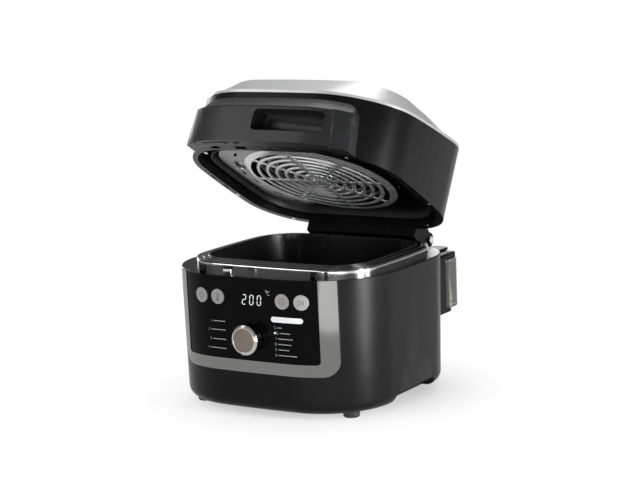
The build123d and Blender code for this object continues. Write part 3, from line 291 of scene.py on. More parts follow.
def turned(name, profile, centre):
    """A lathed piece about an axis along Y: P = centre + (r cos a, y, r sin a)."""
    angle = np.linspace(0, 2 * pi, LATHE_STEPS, endpoint=False)
    radius, along = profile[:, 0][:, None], profile[:, 1][:, None]
    grid = np.stack([centre[0] + radius * np.cos(angle), along + 0 * angle,
                     centre[1] + radius * np.sin(angle)], axis=-1)
    return skin(name, grid)


print("mesh helpers ready")

# %% [markdown]
# ## Effects that several finishes share
# Real surfaces are never perfectly even. Moulded plastic has a fine spark-eroded grain, brushed
# metal has scratches that all run one way, and everything that hands touch has slightly smoother
# and rougher patches. Each effect is a small node group with named sockets, built once. A group
# puts out only heights and values; the shader and its plain numbers stay in each material.

# %% Node group helpers


def new_group(name, inputs, outputs):
    """An empty shader node group with (name, socket type, default) rows for its sockets."""
    tree = bpy.data.node_groups.new(name, "ShaderNodeTree")
    for label, kind, default in inputs:
        socket = tree.interface.new_socket(label, in_out="INPUT", socket_type=kind)
        if default is not None:
            socket.default_value = default
    for label, kind in outputs:
        tree.interface.new_socket(label, in_out="OUTPUT", socket_type=kind)
    return tree, tree.nodes.new("NodeGroupInput"), tree.nodes.new("NodeGroupOutput")


def node(tree, kind, settings=(), **values):
    """Adds a node, sets its attributes, and sets or links its inputs by name."""
    made = tree.nodes.new(kind)
    for label, value in dict(settings).items():
        setattr(made, label, value)
    for label, value in values.items():
        socket = made.inputs[label.replace("_", " ")]
        if isinstance(value, bpy.types.NodeSocket):
            tree.links.new(value, socket)
        else:
            socket.default_value = value
    return made


def math_node(tree, operation, first, second, clamp=False):
    """A maths node on two numbers or sockets."""
    made = tree.nodes.new("ShaderNodeMath")
    made.operation = operation
    made.use_clamp = clamp
    for socket, value in zip(made.inputs, (first, second)):
        if isinstance(value, bpy.types.NodeSocket):
            tree.links.new(value, socket)
        else:
            socket.default_value = value
    return made.outputs[0]


def vector_node(tree, operation, *sockets, **values):
    """A vector maths node fed by sockets; LENGTH puts out a number, the others a vector."""
    made = node(tree, "ShaderNodeVectorMath", {"operation": operation}, **values)
    for given, taken in zip(sockets, made.inputs):
        tree.links.new(given, taken)
    return made.outputs["Value" if operation == "LENGTH" else "Vector"]


def ramp_node(tree, value, low, high, out_low, out_high):
    """Maps a value from low..high to out_low..out_high and clamps it."""
    made = node(tree, "ShaderNodeMapRange", Value=value, From_Min=low, From_Max=high,
                To_Min=out_low, To_Max=out_high)
    return made.outputs["Result"]


print("node helpers ready")

# %% [markdown]
# ## Four shared effects
# Grain is the sandy skin that an eroded mould leaves on plastic: fine noise with broader cells
# under it. Handling is a broad, soft mask. Brushing is noise on stretched coordinates, which turns
# a spot into a long scratch, and turning marks do the same with the distance from a lathe's axis.
# Pictures could be used for all four, but noise stays sharp at any distance and needs no file.

# %% Grain, brushing, handling and turning marks
VECTOR, NUMBER = "NodeSocketVector", "NodeSocketFloat"
BROAD_SHARE, BROAD_WEIGHT = 0.31, 0.5
RING_DRIFT = 30.0


def build_grain():
    """Spark-eroded grain: two sizes of noise added together, as a height from 0 to 1."""
    tree, given, out = new_group("Moulded grain", [("Vector", VECTOR, None),
                                                   ("Scale", NUMBER, 2600.0)],
                                 [("Height", NUMBER)])
    fine = node(tree, "ShaderNodeTexNoise", Vector=given.outputs["Vector"],
                Scale=given.outputs["Scale"], Detail=2.0, Roughness=0.6)
    wider = math_node(tree, "MULTIPLY", given.outputs["Scale"], BROAD_SHARE)
    broad = node(tree, "ShaderNodeTexVoronoi", Vector=given.outputs["Vector"], Scale=wider)
    mixed = math_node(tree, "MULTIPLY", broad.outputs["Distance"], BROAD_WEIGHT)
    tree.links.new(math_node(tree, "ADD", fine.outputs[0], mixed), out.inputs["Height"])
    return tree


def build_handling():
    """Soft patches left by handling and moulding: broad noise broken up by finer noise, 0 to 1."""
    tree, given, out = new_group("Handling", [("Vector", VECTOR, None),
                                              ("Scale", NUMBER, 14.0)],
                                 [("Mask", NUMBER)])
    broad = node(tree, "ShaderNodeTexNoise", Vector=given.outputs["Vector"],
                 Scale=given.outputs["Scale"], Detail=5.0, Roughness=0.62, Distortion=0.4)
    tree.links.new(ramp_node(tree, broad.outputs[0], 0.32, 0.7, 0.0, 1.0), out.inputs["Mask"])
    return tree


def build_brushing():
    """Straight brush marks: noise on coordinates stretched by Stretch, so that a spot of noise
    becomes a long scratch. A large number squeezes that way; a small one draws it out."""
    tree, given, out = new_group("Brushing", [("Vector", VECTOR, None),
                                              ("Stretch", VECTOR, (20, 2500, 2500))],
                                 [("Height", NUMBER), ("Streak", NUMBER)])
    scaled = vector_node(tree, "MULTIPLY", given.outputs["Vector"], given.outputs["Stretch"])
    noise = node(tree, "ShaderNodeTexNoise", Vector=scaled, Scale=1.0, Detail=3.0, Roughness=0.7)
    tree.links.new(noise.outputs[0], out.inputs["Height"])
    tree.links.new(ramp_node(tree, noise.outputs[0], 0.35, 0.68, 0.0, 1.0), out.inputs["Streak"])
    return tree


def build_turning():
    """Turning marks about a centre: noise on the distance d from the axis, times Rings, makes
    fine rings that drift a little on the way round. Across says which coordinates count in d."""
    tree, given, out = new_group("Turning marks", [("Vector", VECTOR, None),
                                                   ("Centre", VECTOR, (0, 0, 0)),
                                                   ("Across", VECTOR, (1, 0, 1)),
                                                   ("Rings", NUMBER, 5000.0)],
                                 [("Height", NUMBER), ("Ring", NUMBER)])
    moved = vector_node(tree, "SUBTRACT", given.outputs["Vector"], given.outputs["Centre"])
    flat = vector_node(tree, "MULTIPLY", moved, given.outputs["Across"])
    far = vector_node(tree, "LENGTH", flat)
    rings = math_node(tree, "MULTIPLY", far, given.outputs["Rings"])
    place = node(tree, "ShaderNodeCombineXYZ", X=rings)
    drift = vector_node(tree, "SCALE", flat, Scale=RING_DRIFT)
    joined = vector_node(tree, "ADD", place.outputs[0], drift)
    noise = node(tree, "ShaderNodeTexNoise", Vector=joined, Scale=1.0, Detail=2.0)
    tree.links.new(noise.outputs[0], out.inputs["Height"])
    tree.links.new(ramp_node(tree, noise.outputs[0], 0.35, 0.65, 0.0, 1.0), out.inputs["Ring"])
    return tree


GRAIN, HANDLING = build_grain(), build_handling()
BRUSHING, TURNING = build_brushing(), build_turning()
print("effect groups:", [tree.name for tree in bpy.data.node_groups])

# %% [markdown]
# ## Finishes
# Every finish is a Principled shader. Its plain numbers, such as how metallic it is, are typed on
# the shader itself, and only what changes over the surface is wired in: colour, roughness and the
# bump's height. One helper wires all of them, so a finish reads as one short line of choices.

# %% The finish helper
BUMP_HEIGHT = 0.0002
STREAK_SMOOTHER, STREAK_ROUGHER = -0.05, 0.07
finishes = {}


def finish(name, colour, rough, metal=0.0, patches=0.06, shade=0.12, grain=0.0, grain_scale=2600.0,
           brush=None, brush_depth=0.0, turning=None, plain=()):
    """Adds a material whose roughness and colour wander with handling patches.
    grain is the bump strength of moulded grain; brush is a stretch vector for straight brushing;
    turning is (centre, across, rings). plain sets the shader's own sockets."""
    material = bpy.data.materials.new(name)
    material.use_nodes = True
    tree = material.node_tree
    shader = tree.nodes["Principled BSDF"]
    shader.inputs["Metallic"].default_value = metal
    for label, value in dict(plain).items():
        shader.inputs[label].default_value = value
    where = node(tree, "ShaderNodeTexCoord").outputs["Object"]
    worn = node(tree, "ShaderNodeGroup", {"node_tree": HANDLING}, Vector=where)
    mask = worn.outputs["Mask"]
    dark = tuple(c * (1 - shade) for c in colour)
    mix = node(tree, "ShaderNodeMix", {"data_type": "RGBA"})
    tree.links.new(mask, mix.inputs["Factor"])
    mix.inputs["A"].default_value = (*dark, 1)
    mix.inputs["B"].default_value = (*colour, 1)
    tint = mix.outputs["Result"]
    roughness = ramp_node(tree, mask, 0.0, 1.0, rough - patches, rough + patches)
    height, strength = None, 0.0
    if grain:
        rough_skin = node(tree, "ShaderNodeGroup", {"node_tree": GRAIN}, Vector=where,
                          Scale=grain_scale)
        height, strength = rough_skin.outputs["Height"], grain
    if brush:
        lines = node(tree, "ShaderNodeGroup", {"node_tree": BRUSHING}, Vector=where, Stretch=brush)
        height, strength, streak = lines.outputs["Height"], brush_depth, lines.outputs["Streak"]
    if turning:
        lines = node(tree, "ShaderNodeGroup", {"node_tree": TURNING}, Vector=where,
                     Centre=turning[0], Across=turning[1], Rings=turning[2])
        height, strength, streak = lines.outputs["Height"], brush_depth, lines.outputs["Ring"]
    if brush or turning:
        spread = ramp_node(tree, streak, 0.0, 1.0, STREAK_SMOOTHER, STREAK_ROUGHER)
        roughness = math_node(tree, "ADD", roughness, spread, clamp=True)
    tree.links.new(tint, shader.inputs["Base Color"])
    tree.links.new(roughness, shader.inputs["Roughness"])
    if height is not None:
        bump = node(tree, "ShaderNodeBump", Height=height, Strength=strength,
                    Distance=BUMP_HEIGHT)
        tree.links.new(bump.outputs["Normal"], shader.inputs["Normal"])
    finishes[name] = material


print("one helper for every finish")

# %% [markdown]
# ## Plastics, rubber and coatings
# The casing is matt black with a faint grain, so its base colour is very dark and its mirror
# strength is low; the panel is as dark but nearly smooth. The lid cover is satin silver paint, half
# metal. The cup is smoked and clear, and the pot has a thin clear coat over dark non-stick.

# %% Plastics, rubber and coatings
KNOB_CENTRE = (0.0, -0.187, 0.110)
BLACK = (0.0040, 0.0040, 0.0041)
MATT = {"Specular IOR Level": 0.1}
finish("casing_black", BLACK, 0.30, grain=0.25, patches=0.03, plain=MATT)
finish("lid_black", BLACK, 0.30, grain=0.22, patches=0.03, plain=MATT)
finish("handle_black", (0.009, 0.0092, 0.0100), 0.40, grain=0.30, patches=0.03,
       plain={"Specular IOR Level": 0.38})
finish("rim_black", (0.005, 0.005, 0.005), 0.30, grain=0.12, plain=MATT)
finish("hinge_black", (0.006, 0.006, 0.0063), 0.42, grain=0.3, plain=MATT)
finish("gloss_black", (0.0022, 0.0022, 0.0023), 0.12, patches=0.02, plain=MATT)
finish("panel_glass", (0.0012, 0.0012, 0.0013), 0.06, patches=0.012,
       plain={"Specular IOR Level": 0.05})
finish("silver_paint", (0.60, 0.602, 0.602), 0.35, metal=0.45, patches=0.03, shade=0.03, grain=0.06,
       grain_scale=4200.0, plain={"Specular IOR Level": 0.15})
finish("non_stick", (0.007, 0.007, 0.0073), 0.26, grain=0.2, grain_scale=3400.0,
       plain={"Coat Weight": 0.2, "Coat Roughness": 0.2})
finish("seal_rubber", (0.012, 0.012, 0.012), 0.46, patches=0.05)
finish("foot_rubber", (0.008, 0.008, 0.008), 0.7, grain=0.4)
finish("button_grey", (0.225, 0.221, 0.213), 0.42, shade=0.05, grain=0.12,
       plain={"Coat Weight": 0.1, "Coat Roughness": 0.4})
finish("smoked_cup", (0.34, 0.335, 0.31), 0.10, patches=0.02, shade=0.05,
       plain={"Transmission Weight": 0.85, "IOR": 1.30})
# The white print glows faintly: a painted glow that makes it brighter than the light falling on it.
finish("white_print_painted_glow", (0.50, 0.51, 0.52), 0.5, shade=0.05,
       plain={"Emission Strength": 0.18, "Emission Color": (1, 1, 1, 1)})
finish("print_grey", (0.30, 0.31, 0.32), 0.5, shade=0.05)
finish("lit_digit", (0.70, 0.73, 0.76), 0.4, shade=0.02,
       plain={"Emission Strength": 0.3, "Emission Color": (0.86, 0.93, 1, 1)})
finish("icon_dark", (0.035, 0.034, 0.033), 0.5, shade=0.1)
finish("board_green", (0.010, 0.065, 0.030), 0.45)
finish("switch_grey", (0.10, 0.10, 0.10), 0.5)
finish("board_tray", (0.05, 0.05, 0.05), 0.55, grain=0.3)
print(len(finishes), "plastics and coatings")

# %% [markdown]
# ## Metals
# A metal takes its colour from its base colour and its look from its roughness. The rim is almost
# a mirror, the frame round the panel is dark chrome, the lid's inside is brushed sheet, and the
# knob's face is turned, with fine rings about its own axis.

# %% Metals
finish("polished_rim", (0.78, 0.78, 0.77), 0.14, metal=1.0, patches=0.03, shade=0.03)
finish("smoked_chrome", (0.19, 0.19, 0.188), 0.09, metal=1.0, patches=0.015, shade=0.02)
finish("knob_chrome", (0.50, 0.48, 0.46), 0.12, metal=1.0, patches=0.02,
       turning=(KNOB_CENTRE, (1, 0, 1), 2500.0), brush_depth=0.05)
finish("knob_brushed", (0.165, 0.14, 0.12), 0.34, metal=1.0, shade=0.05,
       turning=(KNOB_CENTRE, (1, 0, 1), 4200.0), brush_depth=0.25, plain={"Anisotropic": 0.6})
finish("pan_steel", (0.13, 0.129, 0.127), 0.22, metal=1.0, shade=0.25, brush=(30.0, 1500.0, 1500.0),
       brush_depth=0.10)
finish("guard_steel", (0.58, 0.585, 0.59), 0.28, metal=0.8, shade=0.05,
       brush=(40.0, 1600.0, 1600.0), brush_depth=0.08)
finish("bracket_steel", (0.52, 0.52, 0.51), 0.34, metal=1.0, shade=0.1,
       brush=(1600.0, 30.0, 1600.0), brush_depth=0.15)
finish("pin_steel", (0.68, 0.68, 0.67), 0.22, metal=1.0)
finish("heater_steel", (0.30, 0.28, 0.26), 0.40, metal=1.0, shade=0.25)
finish("fan_aluminium", (0.60, 0.61, 0.62), 0.34, metal=1.0, shade=0.1,
       brush=(1200.0, 40.0, 1200.0), brush_depth=0.1)
finish("motor_shell", (0.42, 0.42, 0.42), 0.42, metal=1.0, shade=0.15)
finish("catch_silver", (0.70, 0.70, 0.71), 0.24, metal=1.0, shade=0.05)
print(len(finishes), "finishes in all")

# %% [markdown]
# ## Pieces that keep their CAD shape
# Many parts are already right and only need a finish. A part made only of flat faces takes it
# directly. A part with curves is copied, its loose triangles are merged, and its shading is
# smoothed with large faces keeping their own direction; the copy then stands for the CAD part.

# %% Smoothed copies
COPY_SHARP, SKIN_SHARP = 32.0, 30.0
COPY_MERGE = 2e-6


def stand_for(name, mesh, material, sharp=SKIN_SHARP):
    """Makes a mesh stand for a CAD node, on the same body."""
    mesh.materials.append(finishes[material])
    obj = to_object(name + "_skin", mesh, NODES[name]["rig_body"], sharp)
    even = obj.modifiers.new("even", "WEIGHTED_NORMAL")
    even.keep_sharp = True
    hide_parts(name)


def smooth_copy(name, material):
    """A merged, smoothed copy of a CAD node that stands for it."""
    mesh = NODES[name].data.copy()
    work = bmesh.new()
    work.from_mesh(mesh)
    bmesh.ops.remove_doubles(work, verts=work.verts, dist=COPY_MERGE)
    work.to_mesh(mesh)
    work.free()
    mesh.materials.clear()
    stand_for(name, mesh, material, COPY_SHARP)


def dress(name, material):
    """Gives a CAD node that stays as it is its finish."""
    slots = NODES[name].data.materials
    slots.clear()
    slots.append(finishes[material])


CURVED = {
    "foot_pads": ("foot_rubber", "rubber"), "guide_lugs": ("gloss_black", "black_plastic"),
    "catch_post": ("catch_silver", "catch_metal"), "catch_cap": ("gloss_black", "black_plastic"),
    "rear_housing": ("hinge_black", "black_plastic"),
    "hinge_bracket": ("bracket_steel", "sheet_steel"),
    "hinge_springs": ("pin_steel", "hard_steel"), "hinge_pins": ("pin_steel", "hard_steel"),
    "cord_gland": ("seal_rubber", "rubber"),
    "collector_bracket": ("hinge_black", "black_plastic"),
    "crisper_plate": ("non_stick", "nonstick"), "plate_feet": ("seal_rubber", "rubber"),
    "deck_ring": ("casing_black", "black_plastic"),
    "base_housing": ("casing_black", "black_plastic"),
    "base_floor": ("hinge_black", "inner_plastic"), "floor_screws": ("pin_steel", "hard_steel"),
    "heating_well": ("motor_shell", "sheet_steel"), "base_heater": ("heater_steel", "element"),
    "lid_shell": ("lid_black", "black_plastic"),
    "handle_shroud": ("handle_black", "face_plastic"),
    "handle_face": ("handle_black", "face_plastic"),
    "grip_pocket": ("handle_black", "inner_plastic"), "lid_rim": ("rim_black", "inner_plastic"),
    "rim_screws": ("pin_steel", "hard_steel"), "lid_seal": ("seal_rubber", "rubber"),
    "seal_carrier": ("rim_black", "black_plastic"),
    "lid_pan": ("pan_steel", "sheet_steel"), "fan_guard": ("guard_steel", "brushed_steel"),
    "lid_sensor": ("pin_steel", "sheet_steel"), "lid_tail": ("hinge_black", "black_plastic"),
    "heater_coil": ("heater_steel", "element"),
    "convection_fan": ("fan_aluminium", "fan_aluminium"),
    "cooling_fan": ("fan_aluminium", "fan_aluminium"),
    "fan_motor": ("motor_shell", "motor_steel"), "motor_shaft": ("pin_steel", "motor_steel"),
    "air_dome": ("pan_steel", "sheet_steel"), "knob_shaft": ("pin_steel", "hard_steel"),
    "chrome_frame": ("smoked_chrome", "polished_steel"),
    "glass_panel": ("panel_glass", "smoked_glass"),
    **{use + "_button": ("button_grey", "button_plastic")
       for use in ("power", "temperature", "timer", "start")},
    "collector_cup": ("smoked_cup", "clear_plastic"),
}
FLAT = {
    "heat_shield": "motor_shell", "well_thermostat": "heater_steel", "power_board": "board_green",
    "board_carrier": "board_tray", "control_board": "board_green",
    "display_module": "switch_grey", "tact_switches": "switch_grey",
    "knob_encoder": "switch_grey", "interlock_switch": "switch_grey",
    "motor_bracket": "motor_shell",
}
REMADE = {"lid_cover", "steel_rim", "inner_pot", "knob_body", "knob_face"}
for part_name, (material_name, slot_name) in CURVED.items():
    smooth_copy(part_name, material_name)
for part_name, material_name in FLAT.items():
    dress(part_name, material_name)
missing = set(NODES) - set(CURVED) - set(FLAT) - REMADE
print("smoothed", len(CURVED), "dressed", len(FLAT), "to remake", len(REMADE),
      "no finish:", sorted(missing))

# %% [markdown]
# ## The lid cover
# The silver cover is the largest bright surface, so its shading has to be even. It is the skin
# between two outlines: a sloping one just inside the lid's edge, and a smaller, flat one on top.
# The corner between the slope and the top is a true arc in every column. It is worked out for a
# shut lid and then swung about the hinge to where the lid rests.

# %% Lid cover
LID, EDGE_RISE, SLOPE = 0.194, 0.0783, 0.11
TOP = LID + 0.122
COVER_WALL, BAND_HEIGHT, LEDGE = 0.0024, 0.0046, 0.006
TOP_SIDE, TOP_FRONT, TOP_REAR = 0.024, 0.054, 0.030
SHOULDER, SHOULDER_STEPS = 0.012, 8
BAND_INSET, BAND_FOOT = 0.0004, 0.0003
SLOPE_ROWS = (0.0, 0.08, 0.35, 0.65, 0.92)


def edge_height(y, lift):
    """Height of the shell's sloping edge at depth y: z = LID + EDGE_RISE + SLOPE (y + front)."""
    return LID + EDGE_RISE + SLOPE * (y + BODY["front"]) + lift


def drawn_in(side, front, rear):
    """The body's outline drawn in by different amounts at its sides, front and rear."""
    return outline(BODY["half"] - side, BODY["front"] - front, BODY["rear"] - rear,
                   BODY["corner_front"] - (side + front) / 2,
                   BODY["corner_rear"] - (side + rear) / 2, -side)


def edge_row(inset, lift):
    """One row of the cover's band: the outline drawn in by inset, on the sloping edge."""
    flat = body_points - inset * body_normals
    return np.column_stack([flat, edge_height(flat[:, 1], lift)])


def dome_rows(inset, drop):
    """The sloping skin from the ledge up to the flat top, with its rounded shoulder."""
    tilt = atan(SLOPE)
    low, _ = drawn_in(*[LEDGE + inset] * 3)
    start = np.column_stack([low[:, 0], low[:, 1] * cos(tilt),
                             edge_height(0, BAND_HEIGHT - drop) + low[:, 1] * sin(tilt)])
    high, inward = drawn_in(TOP_SIDE + inset, TOP_FRONT + inset, TOP_REAR + inset)
    tip = np.column_stack([high, np.full(len(high), TOP - drop)])
    down = (start - tip) / np.linalg.norm(start - tip, axis=1)[:, None]
    flat = np.column_stack([-inward, np.zeros(len(high))])
    shoulder = rounded_corner(tip, down, flat, SHOULDER, SHOULDER_STEPS)
    return [start + (shoulder[0] - start) * t for t in SLOPE_ROWS] + shoulder


outside = [edge_row(inset, lift) for inset, lift in
           ((BAND_INSET, BAND_FOOT), (BAND_INSET, 0.0040), (0.0006, 0.0044),
            (0.0010, BAND_HEIGHT))]
inside = [edge_row(BAND_INSET + COVER_WALL, lift)
          for lift in (BAND_FOOT, BAND_HEIGHT - COVER_WALL)]
rows = (inside + dome_rows(COVER_WALL, COVER_WALL))[::-1] + outside + dome_rows(0, 0)
cover_grid = swing(np.stack(rows))
stand_for("lid_cover", skin("lid_cover_skin", cover_grid, caps=(0, 1)), "silver_paint")
print("cover:", cover_grid.shape[0], "rows of", cover_grid.shape[1], "points")

# %% [markdown]
# ## The rim and the pot
# Both are one profile carried round the well's outline. A sweep along a curve would do it too, but
# it can twist where the outline bends. The rim is a closed band, so its last row joins its first.
# The pot's profile runs up its outside, over the flange and the mouth and down the inside, and a
# cap closes each end: the floor's underside and its top.

# %% Polished rim
RIM_RISE, RIM_WIDTH, RIM_ROUND = 0.0075, 0.009, 0.0022
RIM_TOP = DECK + RIM_RISE
well_points, well_normals = outline(**WELL)
rim_profile = fillet_profile(
    [(0.004, DECK), (0, DECK), (0, RIM_TOP), (RIM_WIDTH, RIM_TOP), (RIM_WIDTH, DECK),
     (0.004, DECK)], (0, 0, RIM_ROUND, RIM_ROUND, 0, 0), 8)
rim_grid = along_outline(well_points, well_normals, rim_profile[:-1])
stand_for("steel_rim", skin("steel_rim_skin", rim_grid, closed_rows=True), "polished_rim")
print("rim:", rim_grid.shape[0], "rows of", rim_grid.shape[1], "points")

# %% Pot
FLANGE, MOUTH, POT_FLOOR, POT_WALL = RIM_TOP + 0.002, RIM_TOP + 0.0044, 0.066, 0.0018
FLANGE_WIDTH, FLANGE_TOP = 0.008, FLANGE + 0.0012
MOUTH_INSET, FLOOR_INSET, FLOOR_CAP = 0.016, 0.025, 0.055


def side_inset(z):
    """How far the tapered pot's side is drawn in at height z."""
    share = (MOUTH - z) / (MOUTH - POT_FLOOR)
    return MOUTH_INSET + (FLOOR_INSET - MOUTH_INSET) * share


pot_corners = [
    (FLOOR_CAP, POT_FLOOR, 0), (FLOOR_INSET, POT_FLOOR, 0.018),
    (side_inset(RIM_TOP), RIM_TOP, 0.0004), (0, RIM_TOP, 0.0009), (0, FLANGE, 0.0009),
    (FLANGE_WIDTH, FLANGE, 0.0005), (FLANGE_WIDTH, FLANGE_TOP, 0.0005),
    (side_inset(FLANGE_TOP), FLANGE_TOP, 0.0004), (MOUTH_INSET, MOUTH, 0.0006),
    (MOUTH_INSET + POT_WALL, MOUTH, 0.0006),
    (FLOOR_INSET + POT_WALL, POT_FLOOR + POT_WALL, 0.0162),
    (FLOOR_CAP, POT_FLOOR + POT_WALL, 0)]
pot_profile = fillet_profile([corner[:2] for corner in pot_corners],
                             [corner[2] for corner in pot_corners], 6)
pot_grid = along_outline(well_points, well_normals, pot_profile)
stand_for("inner_pot", skin("inner_pot_skin", pot_grid, caps=(0, 1)), "non_stick")
print("pot:", pot_grid.shape[0], "rows of", pot_grid.shape[1], "points")

# %% [markdown]
# ## The knob
# A knob is turned on a lathe, and so is its mesh: a profile of radius and depth goes round an axis.
# The body flares a little towards the hand and ends in a bevel; the brushed face sits in a shallow
# recess inside it, as a separate disc.

# %% Knob
KNOB_RADIUS, KNOB_FOOT, BEVEL_RADIUS, RECESS_RADIUS, DISC_RADIUS = (
    0.0205, 0.0186, 0.0179, 0.0160, 0.0159)
PANEL = -BODY["front"]
knob_back, knob_front = PANEL - 0.0030, PANEL - 0.020
recess = knob_front + 0.001
body_profile = fillet_profile(
    [(0, knob_back), (KNOB_FOOT, knob_back), (KNOB_RADIUS, knob_front + 0.005),
     (KNOB_RADIUS, knob_front + 0.0024), (BEVEL_RADIUS, knob_front),
     (RECESS_RADIUS, knob_front), (RECESS_RADIUS, recess), (0, recess)],
    (0, 0.0008, 0.002, 0.0008, 0.0006, 0.0004, 0, 0), 5)
face_profile = fillet_profile(
    [(0, recess), (DISC_RADIUS, recess), (DISC_RADIUS, knob_front + 0.0005),
     (0.0153, knob_front + 0.0002), (0, knob_front + 0.0002)], (0, 0, 0.0002, 0.0003, 0), 4)
knob_axis = (0, KNOB_CENTRE[2])
stand_for("knob_body", turned("knob_body_skin", body_profile, knob_axis), "knob_chrome")
stand_for("knob_face", turned("knob_face_skin", face_profile, knob_axis), "knob_brushed")
print("knob:", len(body_profile), "and", len(face_profile), "rows turned")

# %% [markdown]
# ## Marks on the panel
# The panel carries plain numbers, a temperature sign and standard symbols. They could be a picture
# on the glass, but a picture blurs close up. Each mark is a ribbon a tenth of a millimetre thick
# that lies on the panel's curved front: a line of points with a width at each, carried onto it.

# %% Ribbons on the panel
BEND, ARC_EDGE, ARC_DEPTH = 0.0582, 0.05397, -0.0500
RIBBON_RISE, RIBBON_SINK = 0.0001, 0.00002
PIECE_LENGTH, POINT_WIDTH = 2.0, 0.08


def panel_depth(x, z, proud):
    """y of the panel's front at (x, z): an arc of radius R + g about (0, front - R) in the
    middle, g = proud - lean(z), and the front corner's arc beyond the bend."""
    grow = proud - lean(z)
    middle = BOW_FRONT - BODY["front"] - np.sqrt((BOW_FRONT + grow) ** 2 - x ** 2)
    past = np.maximum(np.abs(x) - ARC_EDGE, 0)
    round_corner = np.maximum((BODY["corner_front"] + grow) ** 2 - past ** 2, 0)
    return np.where(np.abs(x) < BEND, middle, ARC_DEPTH - np.sqrt(round_corner))


def ribbon(points, widths, closed=False):
    """Left and right edges of a ribbon: P +- n w / 2, n square to the line at P."""
    points = np.asarray(points, float)
    if closed:
        ahead, behind = np.roll(points, -1, axis=0), np.roll(points, 1, axis=0)
    else:
        ahead = np.vstack([points[1:], points[-1:]])
        behind = np.vstack([points[:1], points[:-1]])
    way = ahead - behind
    way /= np.linalg.norm(way, axis=1)[:, None]
    square = np.column_stack([-way[:, 1], way[:, 0]]) * np.reshape(widths, (-1, 1)) / 2
    return points + square, points - square


def line(start, end, width, taper=0.0):
    """A straight ribbon in millimetres, cut into short pieces; taper points its ends."""
    start, end = np.array(start, float), np.array(end, float)
    long = np.linalg.norm(end - start)
    share = [0.0] + ([taper / long] if taper else [])
    share = np.unique(np.concatenate([share, 1 - np.array(share),
                                      np.linspace(0.1, 0.9, max(int(long / PIECE_LENGTH), 2))]))
    widths = np.ones(len(share))
    if taper:
        widths = np.minimum(1, POINT_WIDTH + np.minimum(share, 1 - share) * long / taper)
    return start + (end - start) * share[:, None], width * widths, False


def ring_line(centre, radius, width, start=0.0, end=360.0, steps=40):
    """A round ribbon from one angle to another; a whole turn closes on itself."""
    angle = np.radians(np.linspace(start, end, steps + 1))
    points = np.array(centre) + radius * np.column_stack([np.cos(angle), np.sin(angle)])
    whole = end - start >= 360
    return (points[:-1] if whole else points), np.full(steps + (not whole), width), whole


def marks(name, strokes, body, material, proud):
    """One object from many ribbons. Each ribbon is a skin with four columns: left and right, just
    under the surface and just above it, P = (x, depth of the panel at x and z, z)."""
    heights = proud + np.array([-RIBBON_SINK, -RIBBON_SINK, RIBBON_RISE, RIBBON_RISE])
    blocks, faces, first = [], [], 0
    for points, widths, closed in strokes:
        left, right = ribbon(points, widths, closed)
        x, z = np.moveaxis(np.stack([left, right, right, left], axis=1) / 1000, -1, 0)
        blocks.append(np.stack([x, panel_depth(x, z, heights), z], axis=-1).reshape(-1, 3))
        faces += (np.array(skin_faces(len(left), 4, closed)) + first).tolist()
        past = first + 4 * len(left)
        if not closed:
            faces += [list(range(first, first + 4)), list(range(past - 4, past))]
        first = past
    mesh = tidy_mesh(name, np.vstack(blocks), faces)
    mesh.materials.append(finishes[material])
    to_object(name, mesh, body, SKIN_SHARP)


print("ribbons follow an arc of", BOW_FRONT, "m")

# %% [markdown]
# ## Digits, numbers and symbols
# The display shows a temperature in lit segments, so each digit is built from seven short ribbons
# with pointed ends. Two columns of plain numbers, each with a bar, stand beside the knob. The four
# buttons carry the usual symbols for power, temperature, time and start.

# %% Digits
SEGMENTS = {"a": ((0, 1), (1, 1)), "b": ((1, 1), (1, 0.5)), "c": ((1, 0.5), (1, 0)),
            "d": ((0, 0), (1, 0)), "e": ((0, 0.5), (0, 0)), "f": ((0, 1), (0, 0.5)),
            "g": ((0, 0.5), (1, 0.5))}
LIT = {"0": "abcdef", "1": "bc", "2": "abged", "3": "abgcd", "4": "fgbc", "5": "afgcd",
       "6": "afgedc", "7": "abc", "8": "abcdefg", "9": "abcdfg"}
SEGMENT_GAP, SEGMENT_POINT = 0.55, 0.5


def digit(character, x, z, wide, high, width, slant=0.1):
    """A seven-segment digit with its lower left corner at (x, z)."""
    strokes = []
    for key in LIT[character]:
        ends = [np.array([x + u * wide + slant * v * high, z + v * high]) for u, v in SEGMENTS[key]]
        along = (ends[1] - ends[0]) / np.linalg.norm(ends[1] - ends[0])
        gap = along * (width * SEGMENT_GAP)
        strokes.append(line(ends[0] + gap, ends[1] - gap, width, width * SEGMENT_POINT))
    return strokes


GLASS, BASE = 0.0022, "base"
READING_X, READING_Z, DIGIT_STEP = -11.6, 155.6, 11.8
DIGIT_WIDE, DIGIT_HIGH, DIGIT_LINE = 5.4, 13.0, 1.0
reading = [stroke for place, character in enumerate("200")
           for stroke in digit(character, READING_X + DIGIT_STEP * place, READING_Z,
                               DIGIT_WIDE, DIGIT_HIGH, DIGIT_LINE)]
marks("display_reading", reading, BASE, "lit_digit", GLASS)
degree = [ring_line((27.2, 175.4), 1.1, 0.6, steps=16),
          ring_line((31.0, 172.8), 2.5, 0.7, 50, 310, 20)]
marks("degree_sign", degree, BASE, "print_grey", GLASS)
print("display:", len(reading), "lit segments")

# %% Pill, numbers and dot
PILL_X, PILL_Z, PILL_REACH, PILL_ROUND, PILL_TIP = 56.5, 138.0, 23.8, 3.7, 0.05
pill_x = PILL_X + PILL_REACH * np.sin(np.linspace(-1.5, 1.5, 41))
past_end = np.maximum(abs(pill_x - PILL_X) - (PILL_REACH - PILL_ROUND), 0)
pill_half = np.sqrt(np.maximum(PILL_ROUND ** 2 - past_end ** 2, PILL_TIP))
pill = [(np.column_stack([pill_x, np.full(len(pill_x), PILL_Z)]), 2 * pill_half, False)]
# The pill and the dot are white print with a painted glow.
marks("mode_pill", pill, BASE, "white_print_painted_glow", GLASS)

